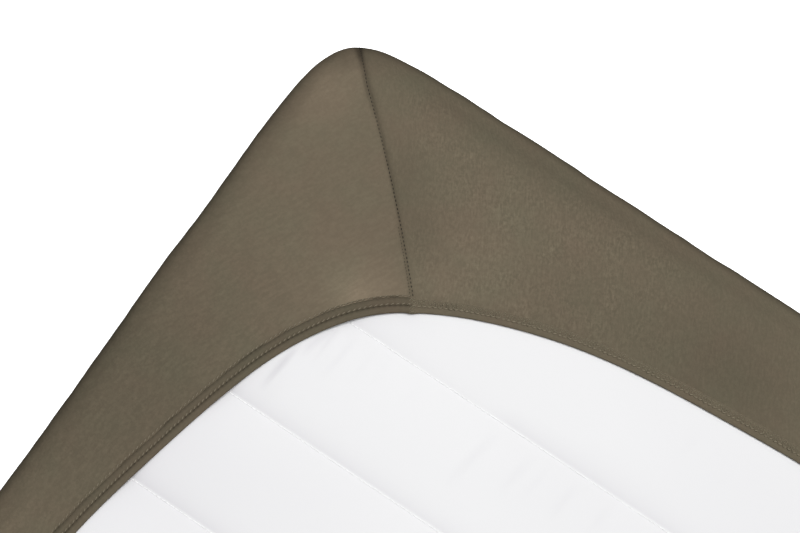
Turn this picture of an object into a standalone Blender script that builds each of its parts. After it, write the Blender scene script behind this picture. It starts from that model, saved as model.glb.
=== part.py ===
"""A fitted sheet pulled over a single mattress that lies face down.

Metres, +Z up.  The origin is on the surface that the mattress lies on, under its middle.
X runs across the mattress and Y along it.  The sheet's sleeping face is at the bottom, its
sides cover the mattress's sides, and its flaps are turned onto the quilted underside, where
they end in an elastic hem.  One seam at each corner shapes the pocket.

Each corner is worked out in two coordinates that start where the two straight sides of the
sheet would meet: u runs inwards from the long side, and v inwards from the short side.
"""

import math

import bmesh
import bpy

# --- Mattress -------------------------------------------------------------------------
MATTRESS_WIDTH = 1.000
MATTRESS_LENGTH = 2.000
MATTRESS_DEPTH = 0.140
MATTRESS_EDGE = 0.031            # rounding between its faces and its sides
CHANNEL_PITCH = 0.0933           # from one quilting line to the next
CHANNEL_DEPTH = 0.0030
CHANNEL_SLOPE = 0.0140           # width of the soft slope on each side of a line
CHANNEL_SHAPE = (                # across one line
    # share of the slope, share of the depth
    (-1.0, 0.0),
    (-0.45, 0.4),
    (0.0, 1.0),
    (0.45, 0.4),
    (1.0, 0.0),
)
CHANNEL_FIRST = 0.1064           # first line, from the sheet's outer face at the +Y end
CHANNEL_COUNT = 20
CHANNEL_MARGIN = 0.060           # a line fades out this far inside the mattress's side

# --- Cloth ----------------------------------------------------------------------------
CLOTH = 0.0015                   # thickness of the sheet
SIDE_GAP = 0.0021                # air between the sheet and the mattress's sides
FLAT_GAP = 0.0004                # the mattress's sleeping face above the sheet
FLAP_GAP = 0.0008                # the flaps above the quilted underside
SHEET_EDGE = 0.030               # rounding of the sheet over the mattress's edges

# --- Corner, seen from above ----------------------------------------------------------
CORNER_REACH = 0.120             # the outline leaves the straight this far from the corner
CORNER_PULL = 2.4                # how sharp the outline's corner is
INNER_PULL = 1.8                 # the same where the rounding meets the flat flap
SEAM_AT = 0.6                    # place of the seam along the corner, 0 long side, 1 short side
SEAM_DIP = 0.0010                # the seam draws the corner in
FAN_REACH = 0.400                # past this the flap's cloth runs straight across

# --- Hem ------------------------------------------------------------------------------
HEM_WIDTH = 0.013
HEM_RISE = 0.0012                # the folded hem and its elastic stand above the flap
HEM_STEP = 0.0012                # run of the step up to the hem
HEM_ROUND = 0.0007               # rounding of the hem's free edge

# Where the free edge of the hem lies: a row for each place, from the seam to mid side.
# along = distance from the corner along that side, flap = distance in from that side.
HEM_LONG_SIDE = (
    # along, flap
    (0.1672, 0.1810),
    (0.1818, 0.1606),
    (0.2047, 0.1403),
    (0.2475, 0.1160),
    (0.3000, 0.0985),
    (0.3767, 0.0805),
    (0.4360, 0.0690),
    (0.6000, 0.0520),
    (1.0036, 0.0460),
)
HEM_SHORT_SIDE = (
    # along, flap
    (0.1810, 0.1672),
    (0.2110, 0.1505),
    (0.2534, 0.1337),
    (0.2983, 0.1214),
    (0.3460, 0.1131),
    (0.4120, 0.1067),
    (0.5036, 0.1020),
)

# The four corners: which way each lies, how much wider its flap is than the first one's,
# and how high the cloth stands on the long and the short side of its seam.
CORNERS = (
    # x, y, wider, rise_long, rise_short
    (1, 1, 1.03, 0.0024, 0.0036),
    (-1, 1, 1.00, 0.0030, 0.0042),
    (-1, -1, 0.96, 0.0034, 0.0028),
    (1, -1, 0.99, 0.0022, 0.0032),
)
RISE_PEAK = 0.13                 # where the cloth stands highest, as a share of the fan
RISE_LEAN = 0.7                  # under 1, the cloth lifts nearer to the mattress's edge
RISE_FLATNESS = 0.6              # under 1, the lift is broad and ends quickly

# --- Steps of the mesh ----------------------------------------------------------------
LONG_SIDE_PLACES = (0.80, 0.60, FAN_REACH, 0.33, 0.26, 0.19)
SHORT_SIDE_PLACES = (0.17, 0.23, 0.29, 0.34, FAN_REACH)
CORNER_STEPS = 15                # SEAM_AT falls on one of these
EDGE_STEPS = 5
INNER_EDGE_STEPS = 3
FLAP_SHARES = (0.12, 0.35, 0.62, 0.86)
INNER_FLAP_SHARES = (0.75, 0.40)

# --- Heights and half sizes worked out from the above ---------------------------------
MATTRESS_BASE = CLOTH + FLAT_GAP
MATTRESS_TOP = MATTRESS_BASE + MATTRESS_DEPTH
FLAP_INSIDE = MATTRESS_TOP + FLAP_GAP
FLAP_TOP = FLAP_INSIDE + CLOTH
SHEET_HALF_X = MATTRESS_WIDTH / 2 + SIDE_GAP + CLOTH
SHEET_HALF_Y = MATTRESS_LENGTH / 2 + SIDE_GAP + CLOTH

# --- Finishes: linear red, green, blue, then roughness --------------------------------
TAUPE_COTTON = ((0.165, 0.138, 0.098), 0.9)
WHITE_TICKING = ((0.870, 0.870, 0.880), 0.8)


def clear_scene():
    for thing in list(bpy.data.objects):
        bpy.data.objects.remove(thing, do_unlink=True)


def principled(name, finish):
    colour, roughness = finish
    material = bpy.data.materials.new(name)
    material.use_nodes = True
    shader = material.node_tree.nodes["Principled BSDF"]
    shader.inputs["Base Color"].default_value = (*colour, 1.0)
    shader.inputs["Roughness"].default_value = roughness
    shader.inputs["Metallic"].default_value = 0.0
    material.diffuse_color = (*colour, 1.0)
    return material


def smooth_table(rows, place):
    """Read a table of (place, value) rows with a smooth curve through them."""
    places = [row[0] for row in rows]
    values = [row[1] for row in rows]
    last = len(rows) - 1
    place = min(max(place, places[0]), places[last])
    slopes = []
    for i in range(last + 1):
        low = max(i - 1, 0)
        high = min(i + 1, last)
        slopes.append((values[high] - values[low]) / (places[high] - places[low]))
    slopes[last] = 0.0
    i = 0
    while i < last - 1 and place > places[i + 1]:
        i += 1
    span = places[i + 1] - places[i]
    s = (place - places[i]) / span
    start = (2 * s**3 - 3 * s**2 + 1) * values[i] + (s**3 - 2 * s**2 + s) * span * slopes[i]
    end = (3 * s**2 - 2 * s**3) * values[i + 1] + (s**3 - s**2) * span * slopes[i + 1]
    return start + end


def corner_curve(t, reach, pull):
    """A point of the rounded corner: t is 0 on the long side and 1 on the short side."""
    along = (1 - t) ** 2
    middle = 2 * pull * t * (1 - t)
    across = t**2
    whole = along + middle + across
    return reach * across / whole, reach * along / whole


def outline_places(half_x, half_y):
    """Places round one quarter, from the middle of the long side to that of the short side.

    Each row gives the outer point, the point where the rounding meets the flat, and t.
    """
    rows = []
    for v in (half_y, *LONG_SIDE_PLACES):
        rows.append(((0.0, v), (SHEET_EDGE, v), 0.0))
    for step in range(CORNER_STEPS + 1):
        t = step / CORNER_STEPS
        outer = corner_curve(t, CORNER_REACH, CORNER_PULL)
        inner = corner_curve(t, CORNER_REACH - SHEET_EDGE, INNER_PULL)
        rows.append((outer, (SHEET_EDGE + inner[0], SHEET_EDGE + inner[1]), t))
    for u in (*SHORT_SIDE_PLACES, half_x):
        rows.append(((u, 0.0), (u, SHEET_EDGE), 1.0))
    return rows


def share_of_fan(place, t):
    """How far an outer point is from the seam: 0 at the seam, 1 at the end of the fan."""
    u, v = place
    seam_u, seam_v = corner_curve(SEAM_AT, CORNER_REACH, CORNER_PULL)
    if t < SEAM_AT:
        return min((v - seam_v) / (FAN_REACH - seam_v), 1.0)
    return min((u - seam_u) / (FAN_REACH - seam_u), 1.0)


def hem_along_side(table, half, place, fan, wider):
    """The hem's (along, flap) on one side, a little wider where the corner's flap is."""
    start = table[0][0]
    if fan >= 1.0:
        return place, smooth_table(table, place) * widening(place, start, half, wider)
    along = start + (FAN_REACH - start) * fan
    extra = widening(along, start, half, wider)
    return along * widening(along, start, FAN_REACH, wider), smooth_table(table, along) * extra


def widening(along, start, end, wider):
    """Full at the seam and gone at the end, so that the sides of two corners meet."""
    return 1.0 + (wider - 1.0) * (end - along) / (end - start)


def hem_point(place, t, wider):
    """The free edge of the hem that belongs to an outer point."""
    u, v = place
    fan = share_of_fan(place, t)
    if t < SEAM_AT:
        along, flap = hem_along_side(HEM_LONG_SIDE, SHEET_HALF_Y, v, fan, wider)
        return flap, along
    return hem_along_side(HEM_SHORT_SIDE, SHEET_HALF_X, u, fan, wider)


def cloth_rise(fan, height):
    """The cloth stands off the mattress beside the seam and lies down again further off."""
    share = fan / RISE_PEAK
    return height * share * math.exp(1.0 - share)


def rise_share(share):
    """How much of that rise is left along the flap: 0 is the mattress's edge, 1 is the hem."""
    return math.sin(math.pi * share**RISE_LEAN) ** RISE_FLATNESS


def between(a, b, share):
    return a[0] + (b[0] - a[0]) * share, a[1] + (b[1] - a[1]) * share


def towards(a, b, distance):
    return between(a, b, distance / math.dist(a, b))


def edge_points(outer, inner, steps, top, sink):
    """Points over the rounded edge, from the side to the flat; sink is the depth of cloth."""
    rim = towards(outer, inner, sink) if sink else outer
    radius = SHEET_EDGE - sink
    points = []
    for step in range(steps + 1):
        angle = math.pi / 2 * (1 - step / steps)
        u, v = between(inner, rim, math.sin(angle))
        points.append((u, v, top - radius * (1 - math.cos(angle))))
    return points


def under_edge_points(outer, inner, steps, sink):
    """The same at the bottom edge, from the flat sleeping face to the side."""
    lifted = edge_points(outer, inner, steps, 0.0, sink)
    return [(u, v, sink - z) for u, v, z in reversed(lifted)]


def sheet_section(outer, inner, t, corner):
    """One closed round of the sheet: up the outside, round the hem, back down the inside."""
    _, _, wider, rise_long, rise_short = corner
    fan = share_of_fan(outer, t)
    height = rise_long if t < SEAM_AT else rise_short
    rise = cloth_rise(fan, height)
    if t == SEAM_AT:
        outer = towards(outer, inner, SEAM_DIP)
    hem = hem_point(outer, t, wider)

    section = under_edge_points(outer, inner, EDGE_STEPS, 0.0)
    section += edge_points(outer, inner, EDGE_STEPS, FLAP_TOP, 0.0)
    hem_start = towards(hem, inner, HEM_WIDTH + HEM_STEP)
    for share in FLAP_SHARES:
        section.append((*between(inner, hem_start, share), FLAP_TOP + rise * rise_share(share)))
    section.append((*hem_start, FLAP_TOP))
    section.append((*towards(hem, inner, HEM_WIDTH), FLAP_TOP + HEM_RISE))
    section.append((*towards(hem, inner, 2 * HEM_ROUND), FLAP_TOP + HEM_RISE))
    section.append((*towards(hem, inner, HEM_ROUND / 2), FLAP_TOP + HEM_RISE - HEM_ROUND))
    section.append((*hem, FLAP_INSIDE + HEM_ROUND))
    section.append((*towards(hem, inner, HEM_ROUND), FLAP_INSIDE))
    for share in INNER_FLAP_SHARES:
        section.append((*between(inner, hem_start, share), FLAP_INSIDE + rise * rise_share(share)))
    section += reversed(edge_points(outer, inner, INNER_EDGE_STEPS, FLAP_TOP - CLOTH, CLOTH))
    section += reversed(under_edge_points(outer, inner, INNER_EDGE_STEPS, CLOTH))
    return section


def mattress_section(outer, inner, *_):
    """The mattress's side, from its sleeping face to its quilted underside."""
    low = under_edge_points(outer, inner, EDGE_STEPS - 1, 0.0)
    high = edge_points(outer, inner, EDGE_STEPS - 1, 0.0, 0.0)
    scale = MATTRESS_EDGE / SHEET_EDGE
    section = [(u, v, MATTRESS_BASE + z * scale) for u, v, z in low]
    section += [(u, v, MATTRESS_TOP + z * scale) for u, v, z in high]
    return section


def all_sections(make_section, half_x, half_y):
    """Sections all the way round, with the middle of each side made only once."""
    sections = []
    for corner in CORNERS:
        sign_x, sign_y = corner[:2]
        quarter = []
        for outer, inner, t in outline_places(half_x, half_y):
            section = make_section(outer, inner, t, corner)
            quarter.append([(sign_x * (half_x - u), sign_y * (half_y - v), z) for u, v, z in section])
        if sign_x * sign_y < 0:
            quarter.reverse()
        sections += quarter[:-1]
    return sections


def rings_from(bm, sections):
    """A ring of points round the mattress for each place of the section, joined by quads."""
    columns = [[bm.verts.new(point) for point in section] for section in sections]
    count = len(columns)
    for i in range(count):
        here = columns[i]
        there = columns[(i + 1) % count]
        for j in range(len(here) - 1):
            bm.faces.new((here[j], there[j], there[j + 1], here[j + 1]))
    first = [column[0] for column in columns]
    last = [column[-1] for column in columns]
    return first, last


def finish_object(bm, name, material):
    bmesh.ops.recalc_face_normals(bm, faces=bm.faces)
    mesh = bpy.data.meshes.new(name)
    bm.to_mesh(mesh)
    bm.free()
    mesh.shade_smooth()
    mesh.set_sharp_from_angle(angle=math.radians(40))
    mesh.materials.append(material)
    thing = bpy.data.objects.new(name, mesh)
    bpy.context.scene.collection.objects.link(thing)
    return thing


def build_sheet():
    """The sheet is one piece of cloth with its four corners sewn and its hem folded in."""
    bm = bmesh.new()
    first, last = rings_from(bm, all_sections(sheet_section, SHEET_HALF_X, SHEET_HALF_Y))
    bm.faces.new(first)
    bm.faces.new(last)
    return finish_object(bm, "fitted_sheet", principled("taupe_cotton", TAUPE_COTTON))


def channel_rows():
    """Rows across the underside as (y, depth): five for each quilting line."""
    rows = []
    for line in range(CHANNEL_COUNT):
        middle = SHEET_HALF_Y - CHANNEL_FIRST - line * CHANNEL_PITCH
        for share, depth in CHANNEL_SHAPE:
            rows.append((middle - share * CHANNEL_SLOPE, depth * CHANNEL_DEPTH))
    return rows


def quilted_field(bm):
    """The quilted middle of the underside.  Returns the edges round it."""
    full = MATTRESS_WIDTH / 2 - CHANNEL_MARGIN
    fade = full - CHANNEL_MARGIN / 2
    columns = ((-full, 0.0), (-fade, 1.0), (0.0, 1.0), (fade, 1.0), (full, 0.0))
    grid = []
    for y, depth in channel_rows():
        grid.append([bm.verts.new((x, y, MATTRESS_TOP - depth * share)) for x, share in columns])
    faces = []
    for near, far in zip(grid, grid[1:]):
        for j in range(len(columns) - 1):
            faces.append(bm.faces.new((near[j], near[j + 1], far[j + 1], far[j])))
    return [edge for face in faces for edge in face.edges if len(edge.link_faces) == 1]


def build_mattress():
    """A plain foam mattress with soft edges, quilted across on the side that shows."""
    bm = bmesh.new()
    half_x = MATTRESS_WIDTH / 2
    half_y = MATTRESS_LENGTH / 2
    first, last = rings_from(bm, all_sections(mattress_section, half_x, half_y))
    bm.faces.new(first)
    rim = [bm.edges.get((last[i - 1], last[i])) for i in range(len(last))]
    bmesh.ops.triangle_fill(bm, edges=rim + quilted_field(bm), use_beauty=True)
    return finish_object(bm, "mattress", principled("white_ticking", WHITE_TICKING))


clear_scene()
build_mattress()
build_sheet()
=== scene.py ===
# %% [markdown]
# # A fitted sheet on a mattress
#
# The object is a taupe cotton fitted sheet, pulled over a single mattress that lies face
# down.  We look at the underside: the sheet's flaps are turned in over the white quilted
# cover and end in an elastic hem, and one seam runs from each corner to the hem.
#
# The solids of the part are loaded first and stay where they are.  Each visible piece is
# then built finer, over its solid, and takes its place in the picture.

import math

import bpy
import numpy as np
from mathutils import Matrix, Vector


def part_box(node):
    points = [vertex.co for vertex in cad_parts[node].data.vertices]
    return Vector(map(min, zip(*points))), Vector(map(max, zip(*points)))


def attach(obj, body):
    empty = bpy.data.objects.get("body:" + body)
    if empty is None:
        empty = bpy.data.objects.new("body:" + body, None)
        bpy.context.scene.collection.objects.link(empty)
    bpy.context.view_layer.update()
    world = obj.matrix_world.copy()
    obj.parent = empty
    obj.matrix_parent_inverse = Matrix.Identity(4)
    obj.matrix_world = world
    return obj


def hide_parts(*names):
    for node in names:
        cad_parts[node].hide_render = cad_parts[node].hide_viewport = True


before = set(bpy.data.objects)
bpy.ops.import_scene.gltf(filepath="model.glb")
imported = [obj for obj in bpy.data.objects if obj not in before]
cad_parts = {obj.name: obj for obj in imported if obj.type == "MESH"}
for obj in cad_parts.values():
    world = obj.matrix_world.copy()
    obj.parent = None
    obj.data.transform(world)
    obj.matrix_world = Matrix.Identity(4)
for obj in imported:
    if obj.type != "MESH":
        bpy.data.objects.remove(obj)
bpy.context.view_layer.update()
_, sheet_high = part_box("fitted_sheet")
mattress_low, mattress_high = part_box("mattress")

# %% [markdown]
# ## Sizes
#
# Everything is placed from the four straight sides of the sheet.  Near a corner two
# coordinates are easiest: u runs in from the long side and v runs in from the short side.
# The same two numbers then serve all four corners, and only two signs change.

# %% Sizes that the solids give
MM = 0.001
half_x = sheet_high[0]
half_y = sheet_high[1]
mattress_top = mattress_high[2]
FLAP_GAP = 0.8 * MM              # air between the flap and the mattress
CLOTH = 1.5 * MM                 # thickness of the cloth, as in its solid
flap_inside = mattress_top + FLAP_GAP
flap_top = flap_inside + CLOTH
print("flap lies at", round(flap_top, 4), "m; half sizes", round(half_x, 4), round(half_y, 4))

# %% [markdown]
# ## The four corners
#
# The sheet has a sewn pocket at each corner, and no two sit quite alike once it's pulled on.
# Each could be modelled by itself.  Here one recipe makes all four, and a table says how they
# differ: which way the corner lies, how much wider its flap is, and how high the cloth stands
# on both sides of its seam.  The second row is the corner in the picture.

# %% The four corners
CORNERS = (
    # x, y, wider, rise on the long side, rise on the short side
    (1, 1, 1.03, 2.4 * MM, 3.6 * MM),
    (-1, 1, 1.00, 3.0 * MM, 4.2 * MM),
    (-1, -1, 0.96, 3.4 * MM, 2.8 * MM),
    (1, -1, 0.99, 2.2 * MM, 3.2 * MM),
)


def to_world(corner, u, v):
    return corner[0] * (half_x - u), corner[1] * (half_y - v)


print("the corner in the picture is at", [round(float(p), 3) for p in to_world(CORNERS[1], 0, 0)])

# %% [markdown]
# ## Camera
#
# The picture looks down on one corner from above and behind the object's middle.  The two
# straight edges of the sheet meet at a right angle on the real thing, so the angles at
# which they cross the picture give the camera's direction.  The quilting lines must come
# out parallel to the short side, and that gives the distance: 2.2 metres, through a long
# lens.

# %% Camera
CAMERA_TURN = math.radians(34.10)
CAMERA_HEIGHT = math.radians(75.76)
CAMERA_DISTANCE = 2.2
METRES_PER_PIXEL = 0.753 * MM
PICTURE_WIDTH = 800
SENSOR_WIDTH = 36.0
AIM_U = 149.6 * MM
AIM_V = 138.8 * MM
EDGE_DROP = 23.7 * MM            # the outline that we see lies this far under the flap


def place_camera():
    data = bpy.data.cameras.new("camera")
    data.sensor_width = SENSOR_WIDTH
    data.lens = SENSOR_WIDTH * CAMERA_DISTANCE / (METRES_PER_PIXEL * PICTURE_WIDTH)
    data.clip_end = 200.0
    camera = bpy.data.objects.new("camera", data)
    bpy.context.scene.collection.objects.link(camera)
    aim_x, aim_y = to_world(CORNERS[1], AIM_U, AIM_V)
    flat = math.cos(CAMERA_HEIGHT) * CAMERA_DISTANCE
    camera.location = (
        aim_x + math.sin(CAMERA_TURN) * flat,
        aim_y - math.cos(CAMERA_TURN) * flat,
        flap_top - EDGE_DROP + math.sin(CAMERA_HEIGHT) * CAMERA_DISTANCE,
    )
    camera.rotation_euler = (math.pi / 2 - CAMERA_HEIGHT, 0.0, CAMERA_TURN)
    bpy.context.scene.camera = camera
    print("lens", round(data.lens, 1), "mm")


place_camera()

# %% [markdown]
# ## Small tools
#
# The meshes here are grids: one direction runs round the mattress and the other runs over
# the section of the cloth.  A grid of points turns into quads with a little index
# arithmetic, which is much quicker than adding faces one by one.


# %% Mesh helpers
def grid_faces(columns, rows, closed_columns, closed_rows):
    """Quads of a grid whose point number is column * rows + row."""
    last_column = columns if closed_columns else columns - 1
    last_row = rows if closed_rows else rows - 1
    i, j = np.meshgrid(np.arange(last_column), np.arange(last_row), indexing="ij")
    i2 = (i + 1) % columns
    j2 = (j + 1) % rows
    quads = np.stack([i * rows + j, i2 * rows + j, i2 * rows + j2, i * rows + j2], axis=-1)
    return quads.reshape(-1, 4)


def mesh_object(name, points, faces):
    mesh = bpy.data.meshes.new(name)
    faces = [face.tolist() if hasattr(face, "tolist") else face for face in faces]
    mesh.from_pydata(np.asarray(points).tolist(), [], faces)
    mesh.validate()
    mesh.shade_smooth()
    thing = bpy.data.objects.new(name, mesh)
    bpy.context.scene.collection.objects.link(thing)
    return thing


def count_triangles(thing):
    return sum(len(face.vertices) - 2 for face in thing.data.polygons)


def unit(vectors):
    return vectors / np.linalg.norm(vectors, axis=-1, keepdims=True)


print("a grid of 4 x 3 points has", len(grid_faces(4, 3, False, False)), "quads")

# %% [markdown]
# ## The line of the hem
#
# The elastic pulls the free edge of the sheet in from the sides, most of all at the
# corners, where it spans from one side to the other.  A few measured places on each side
# of the seam are enough, and the other corners follow from the same places.

# %% Places on the hem
HEM_LONG_SIDE = (
    # along the side from the corner, in from the side
    (0.1679, 0.1800),
    (0.1818, 0.1606),
    (0.2047, 0.1403),
    (0.2475, 0.1166),
    (0.3000, 0.0992),
    (0.3767, 0.0813),
    (0.4360, 0.0702),
    (0.6000, 0.0530),
    (1.0036, 0.0465),
)
HEM_SHORT_SIDE = (
    # along the side from the corner, in from the side
    (0.1800, 0.1679),
    (0.2110, 0.1509),
    (0.2534, 0.1342),
    (0.2983, 0.1216),
    (0.3460, 0.1134),
    (0.4120, 0.1071),
    (0.5036, 0.1024),
)
FAN_REACH = 0.400                # past this the flap's cloth runs straight across


def widening(along, start, end, wider):
    return 1.0 + (wider - 1.0) * max(end - along, 0.0) / (end - start)


def side_places(table, half, wider):
    """(along, in from the side) of one side, made wider towards the corner."""
    start = table[0][0]
    return [
        (along * widening(along, start, FAN_REACH, wider), flap * widening(along, start, half, wider))
        for along, flap in table
    ]


def hem_places(corner):
    """(u, v) from the middle of the long side, past the seam, to the middle of the short."""
    long_side = side_places(HEM_LONG_SIDE, half_y, corner[2])
    short_side = side_places(HEM_SHORT_SIDE, half_x, corner[2])
    return [(u, v) for v, u in reversed(long_side)] + short_side[1:]


def round_the_mattress(make_quarter):
    """Join a quarter's (x, y) points for every corner, mirrored ones backwards, into a line."""
    line = []
    for corner in CORNERS:
        quarter = [to_world(corner, u, v) for u, v in make_quarter(corner)]
        line += quarter[:: corner[0] * corner[1]][:-1]
    return np.array(line)


print("the hem is drawn through", len(round_the_mattress(hem_places)), "places")

# %% [markdown]
# ## A smooth closed curve
#
# Elastic under tension can't kink, so its line is smooth.  Blender's own curves are smooth
# too, but the stitches and the cloth both need to know where they are along this one.  Plain
# arrays make that easy: a cubic runs between each two places, and the whole is then cut into
# equal steps, so that a distance along it is simply a number of steps.


# %% A smooth closed curve in equal steps
def smooth_closed(points, step):
    """A curve through the points, as dense points; the slope at each follows its neighbours."""
    after = np.roll(points, -1, axis=0)
    before = np.roll(points, 1, axis=0)
    ahead = np.linalg.norm(after - points, axis=1)
    behind = np.linalg.norm(points - before, axis=1)
    slope = (after - before) / (ahead + behind)[:, None]
    pieces = []
    for i in range(len(points)):
        j = (i + 1) % len(points)
        span = ahead[i]
        s = np.linspace(0.0, 1.0, max(int(span / step), 1), endpoint=False)[:, None]
        piece = (2 * s**3 - 3 * s**2 + 1) * points[i] + (s**3 - 2 * s**2 + s) * span * slope[i]
        piece += (3 * s**2 - 2 * s**3) * points[j] + (s**3 - s**2) * span * slope[j]
        pieces.append(piece)
    return np.concatenate(pieces)


def equal_steps(points, count):
    closed = np.vstack([points, points[:1]])
    run = np.concatenate([[0.0], np.cumsum(np.linalg.norm(np.diff(closed, axis=0), axis=1))])
    where = np.linspace(0.0, run[-1], count, endpoint=False)
    stepped = np.stack([np.interp(where, run, closed[:, k]) for k in range(2)], axis=1)
    return stepped, run[-1]


def smooth_round(values, width):
    """Even out a closed list with a bell of that many steps."""
    reach = int(width * 3)
    offsets = np.arange(-reach, reach + 1)
    weights = np.exp(-0.5 * (offsets / width) ** 2)
    weights /= weights.sum()
    total = np.zeros_like(values)
    for offset, weight in zip(offsets, weights):
        total += weight * np.roll(values, offset, axis=0)
    return total


# %% [markdown]
# ## Lay the hem line
#
# A sewing machine makes every stitch alike, so the hem is cut into whole stitches and each
# stitch into four steps.  The line is evened out a little before the last cut, which takes
# away what the eye could still see of the single places.

# %% Lay the hem line
STITCH = 3.9 * MM                # one stitch of the hem, from hole to hole
STEPS_PER_STITCH = 4
HEM_EVENING = 12 * MM

rough = smooth_closed(round_the_mattress(hem_places), 2 * MM)
_, hem_length = equal_steps(rough, 100)
hem_stitch_count = round(hem_length / STITCH)
hem_count = hem_stitch_count * STEPS_PER_STITCH
hem_line, hem_length = equal_steps(rough, hem_count)
hem_line = smooth_round(hem_line, HEM_EVENING / hem_length * hem_count)
hem_line, hem_length = equal_steps(hem_line, hem_count)
hem_step = hem_length / hem_count
print("hem is", round(hem_length, 3), "m round, in", hem_stitch_count, "stitches")

# %% [markdown]
# ## Read the hem line
#
# Stitches and strips of cloth can end between two steps.  These helpers read any table of
# the hem at any number of steps, find the step nearest to a place, and give the place where
# a corner's seam ends.

# %% Read the hem line anywhere
SEAM_AT_LONG, SEAM_IN_LONG = HEM_LONG_SIDE[0]
hem_tangent = unit(np.roll(hem_line, -1, axis=0) - np.roll(hem_line, 1, axis=0))
hem_out = np.stack([hem_tangent[:, 1], -hem_tangent[:, 0]], axis=1)   # towards the sides


def hem_read(table, steps):
    """A value from a closed table at any number of steps along the hem."""
    low = np.floor(steps).astype(int)
    share = (steps - low).reshape(-1, *([1] * (table.ndim - 1)))
    return table[low % hem_count] * (1 - share) + table[(low + 1) % hem_count] * share


def nearest_on_hem(x, y):
    return int(np.argmin(np.hypot(hem_line[:, 0] - x, hem_line[:, 1] - y)))


def seam_foot(corner):
    """Where a corner's seam meets the hem."""
    return to_world(corner, SEAM_IN_LONG * corner[2], SEAM_AT_LONG * corner[2])


print("the seam in the picture ends at step", nearest_on_hem(*seam_foot(CORNERS[1])))

# %% [markdown]
# ## The outline of the sheet
#
# Seen from above, the sides are straight and the corners are drawn in by the cloth.  A
# conic curve suits that: one number says how far the rounding reaches and another how
# sharp it is.  Two such lines are needed, the outer face of the sheet and the line where
# the rounded edge meets the flat flap, and each column of the mesh runs from one to the
# other and on to the hem.

# %% Corner shape
SHEET_EDGE = 30 * MM             # rounding of the sheet over the mattress's edge
CORNER_REACH = 120 * MM
CORNER_PULL = 2.4
INNER_PULL = 1.8
SEAM_AT = 0.6                    # place of the seam on the corner's curve


def corner_curve(t, reach, pull):
    """(u, v) for t from 0, on the long side, to 1, on the short side."""
    along = (1 - t) ** 2
    across = t**2
    whole = along + 2 * pull * t * (1 - t) + across
    return np.stack([reach * across / whole, reach * along / whole], axis=-1)


def outer_curve(t):
    return corner_curve(t, CORNER_REACH, CORNER_PULL)


def inner_curve(t):
    return corner_curve(t, CORNER_REACH - SHEET_EDGE, INNER_PULL) + SHEET_EDGE


seam_uv = outer_curve(SEAM_AT)
seam_inner_uv = inner_curve(SEAM_AT)
print("the seam leaves the outline at u, v", [round(float(p) / MM, 1) for p in seam_uv], "mm")

# %% [markdown]
# ## Columns of one quarter
#
# A column of the mesh is one narrow strip of cloth, from the outline to the hem.  Equal
# strips would be simplest.  But the cloth bends most beside the seam and hardly at all along
# the straight sides, so the strips are narrow at the seam and wide at the sides.

# %% Columns of one quarter
NEAR_SEAM = [0.7, 1.4, 2.1, 2.9, 3.8, 5.0, 6.5, 8.5, 11.0, 14.0]   # mm along the hem
HEM_SPACING = 3.6 * MM
SIDE_STEP = 12 * MM


def side_of_seam(half, axis):
    """Columns from the seam to the middle of one side: share of the fan, outer and inner."""
    start = (HEM_LONG_SIDE if axis == 1 else HEM_SHORT_SIDE)[0][0]
    reach = FAN_REACH - start
    near = np.array(NEAR_SEAM) * MM
    count = int((reach - near[-1]) / HEM_SPACING)
    shares = np.concatenate([[0.0], near, np.linspace(near[-1], reach, count + 1)[1:]]) / reach
    along = seam_uv[axis] + shares * (FAN_REACH - seam_uv[axis])
    rest = np.linspace(FAN_REACH, half, int((half - FAN_REACH) / SIDE_STEP) + 1)[1:]
    along = np.concatenate([along, rest])
    shares = np.concatenate([shares, np.ones(len(rest))])
    t = np.linspace(SEAM_AT, 0.0 if axis == 1 else 1.0, 2000)
    t_here = np.interp(along, outer_curve(t)[:, axis], t)
    outer, inner = outer_curve(t_here), inner_curve(t_here)
    straight = along > CORNER_REACH
    outer[straight, axis] = along[straight]
    inner[straight, axis] = along[straight]
    return shares, outer, inner


def quarter_columns():
    """From the middle of the long side, past the seam, to the middle of the short side."""
    long_side = side_of_seam(half_y, 1)
    short_side = side_of_seam(half_x, 0)
    joined = [np.concatenate([a[::-1], b[1:]]) for a, b in zip(long_side, short_side)]
    return joined[0], joined[1], joined[2], len(long_side[0]) - 1


fan_share, outer_uv, inner_uv, seam_column = quarter_columns()
print("columns in a quarter", len(outer_uv), "; the seam is column", seam_column)

# %% [markdown]
# ## Where each column meets the hem
#
# Far from a corner the cloth runs straight across from the side to the hem.  Near the
# corner the columns fan out from the seam, because the elastic has gathered the cloth
# there.  The distance along the hem is shared out in proportion between the seam and the
# end of the fan.

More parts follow.
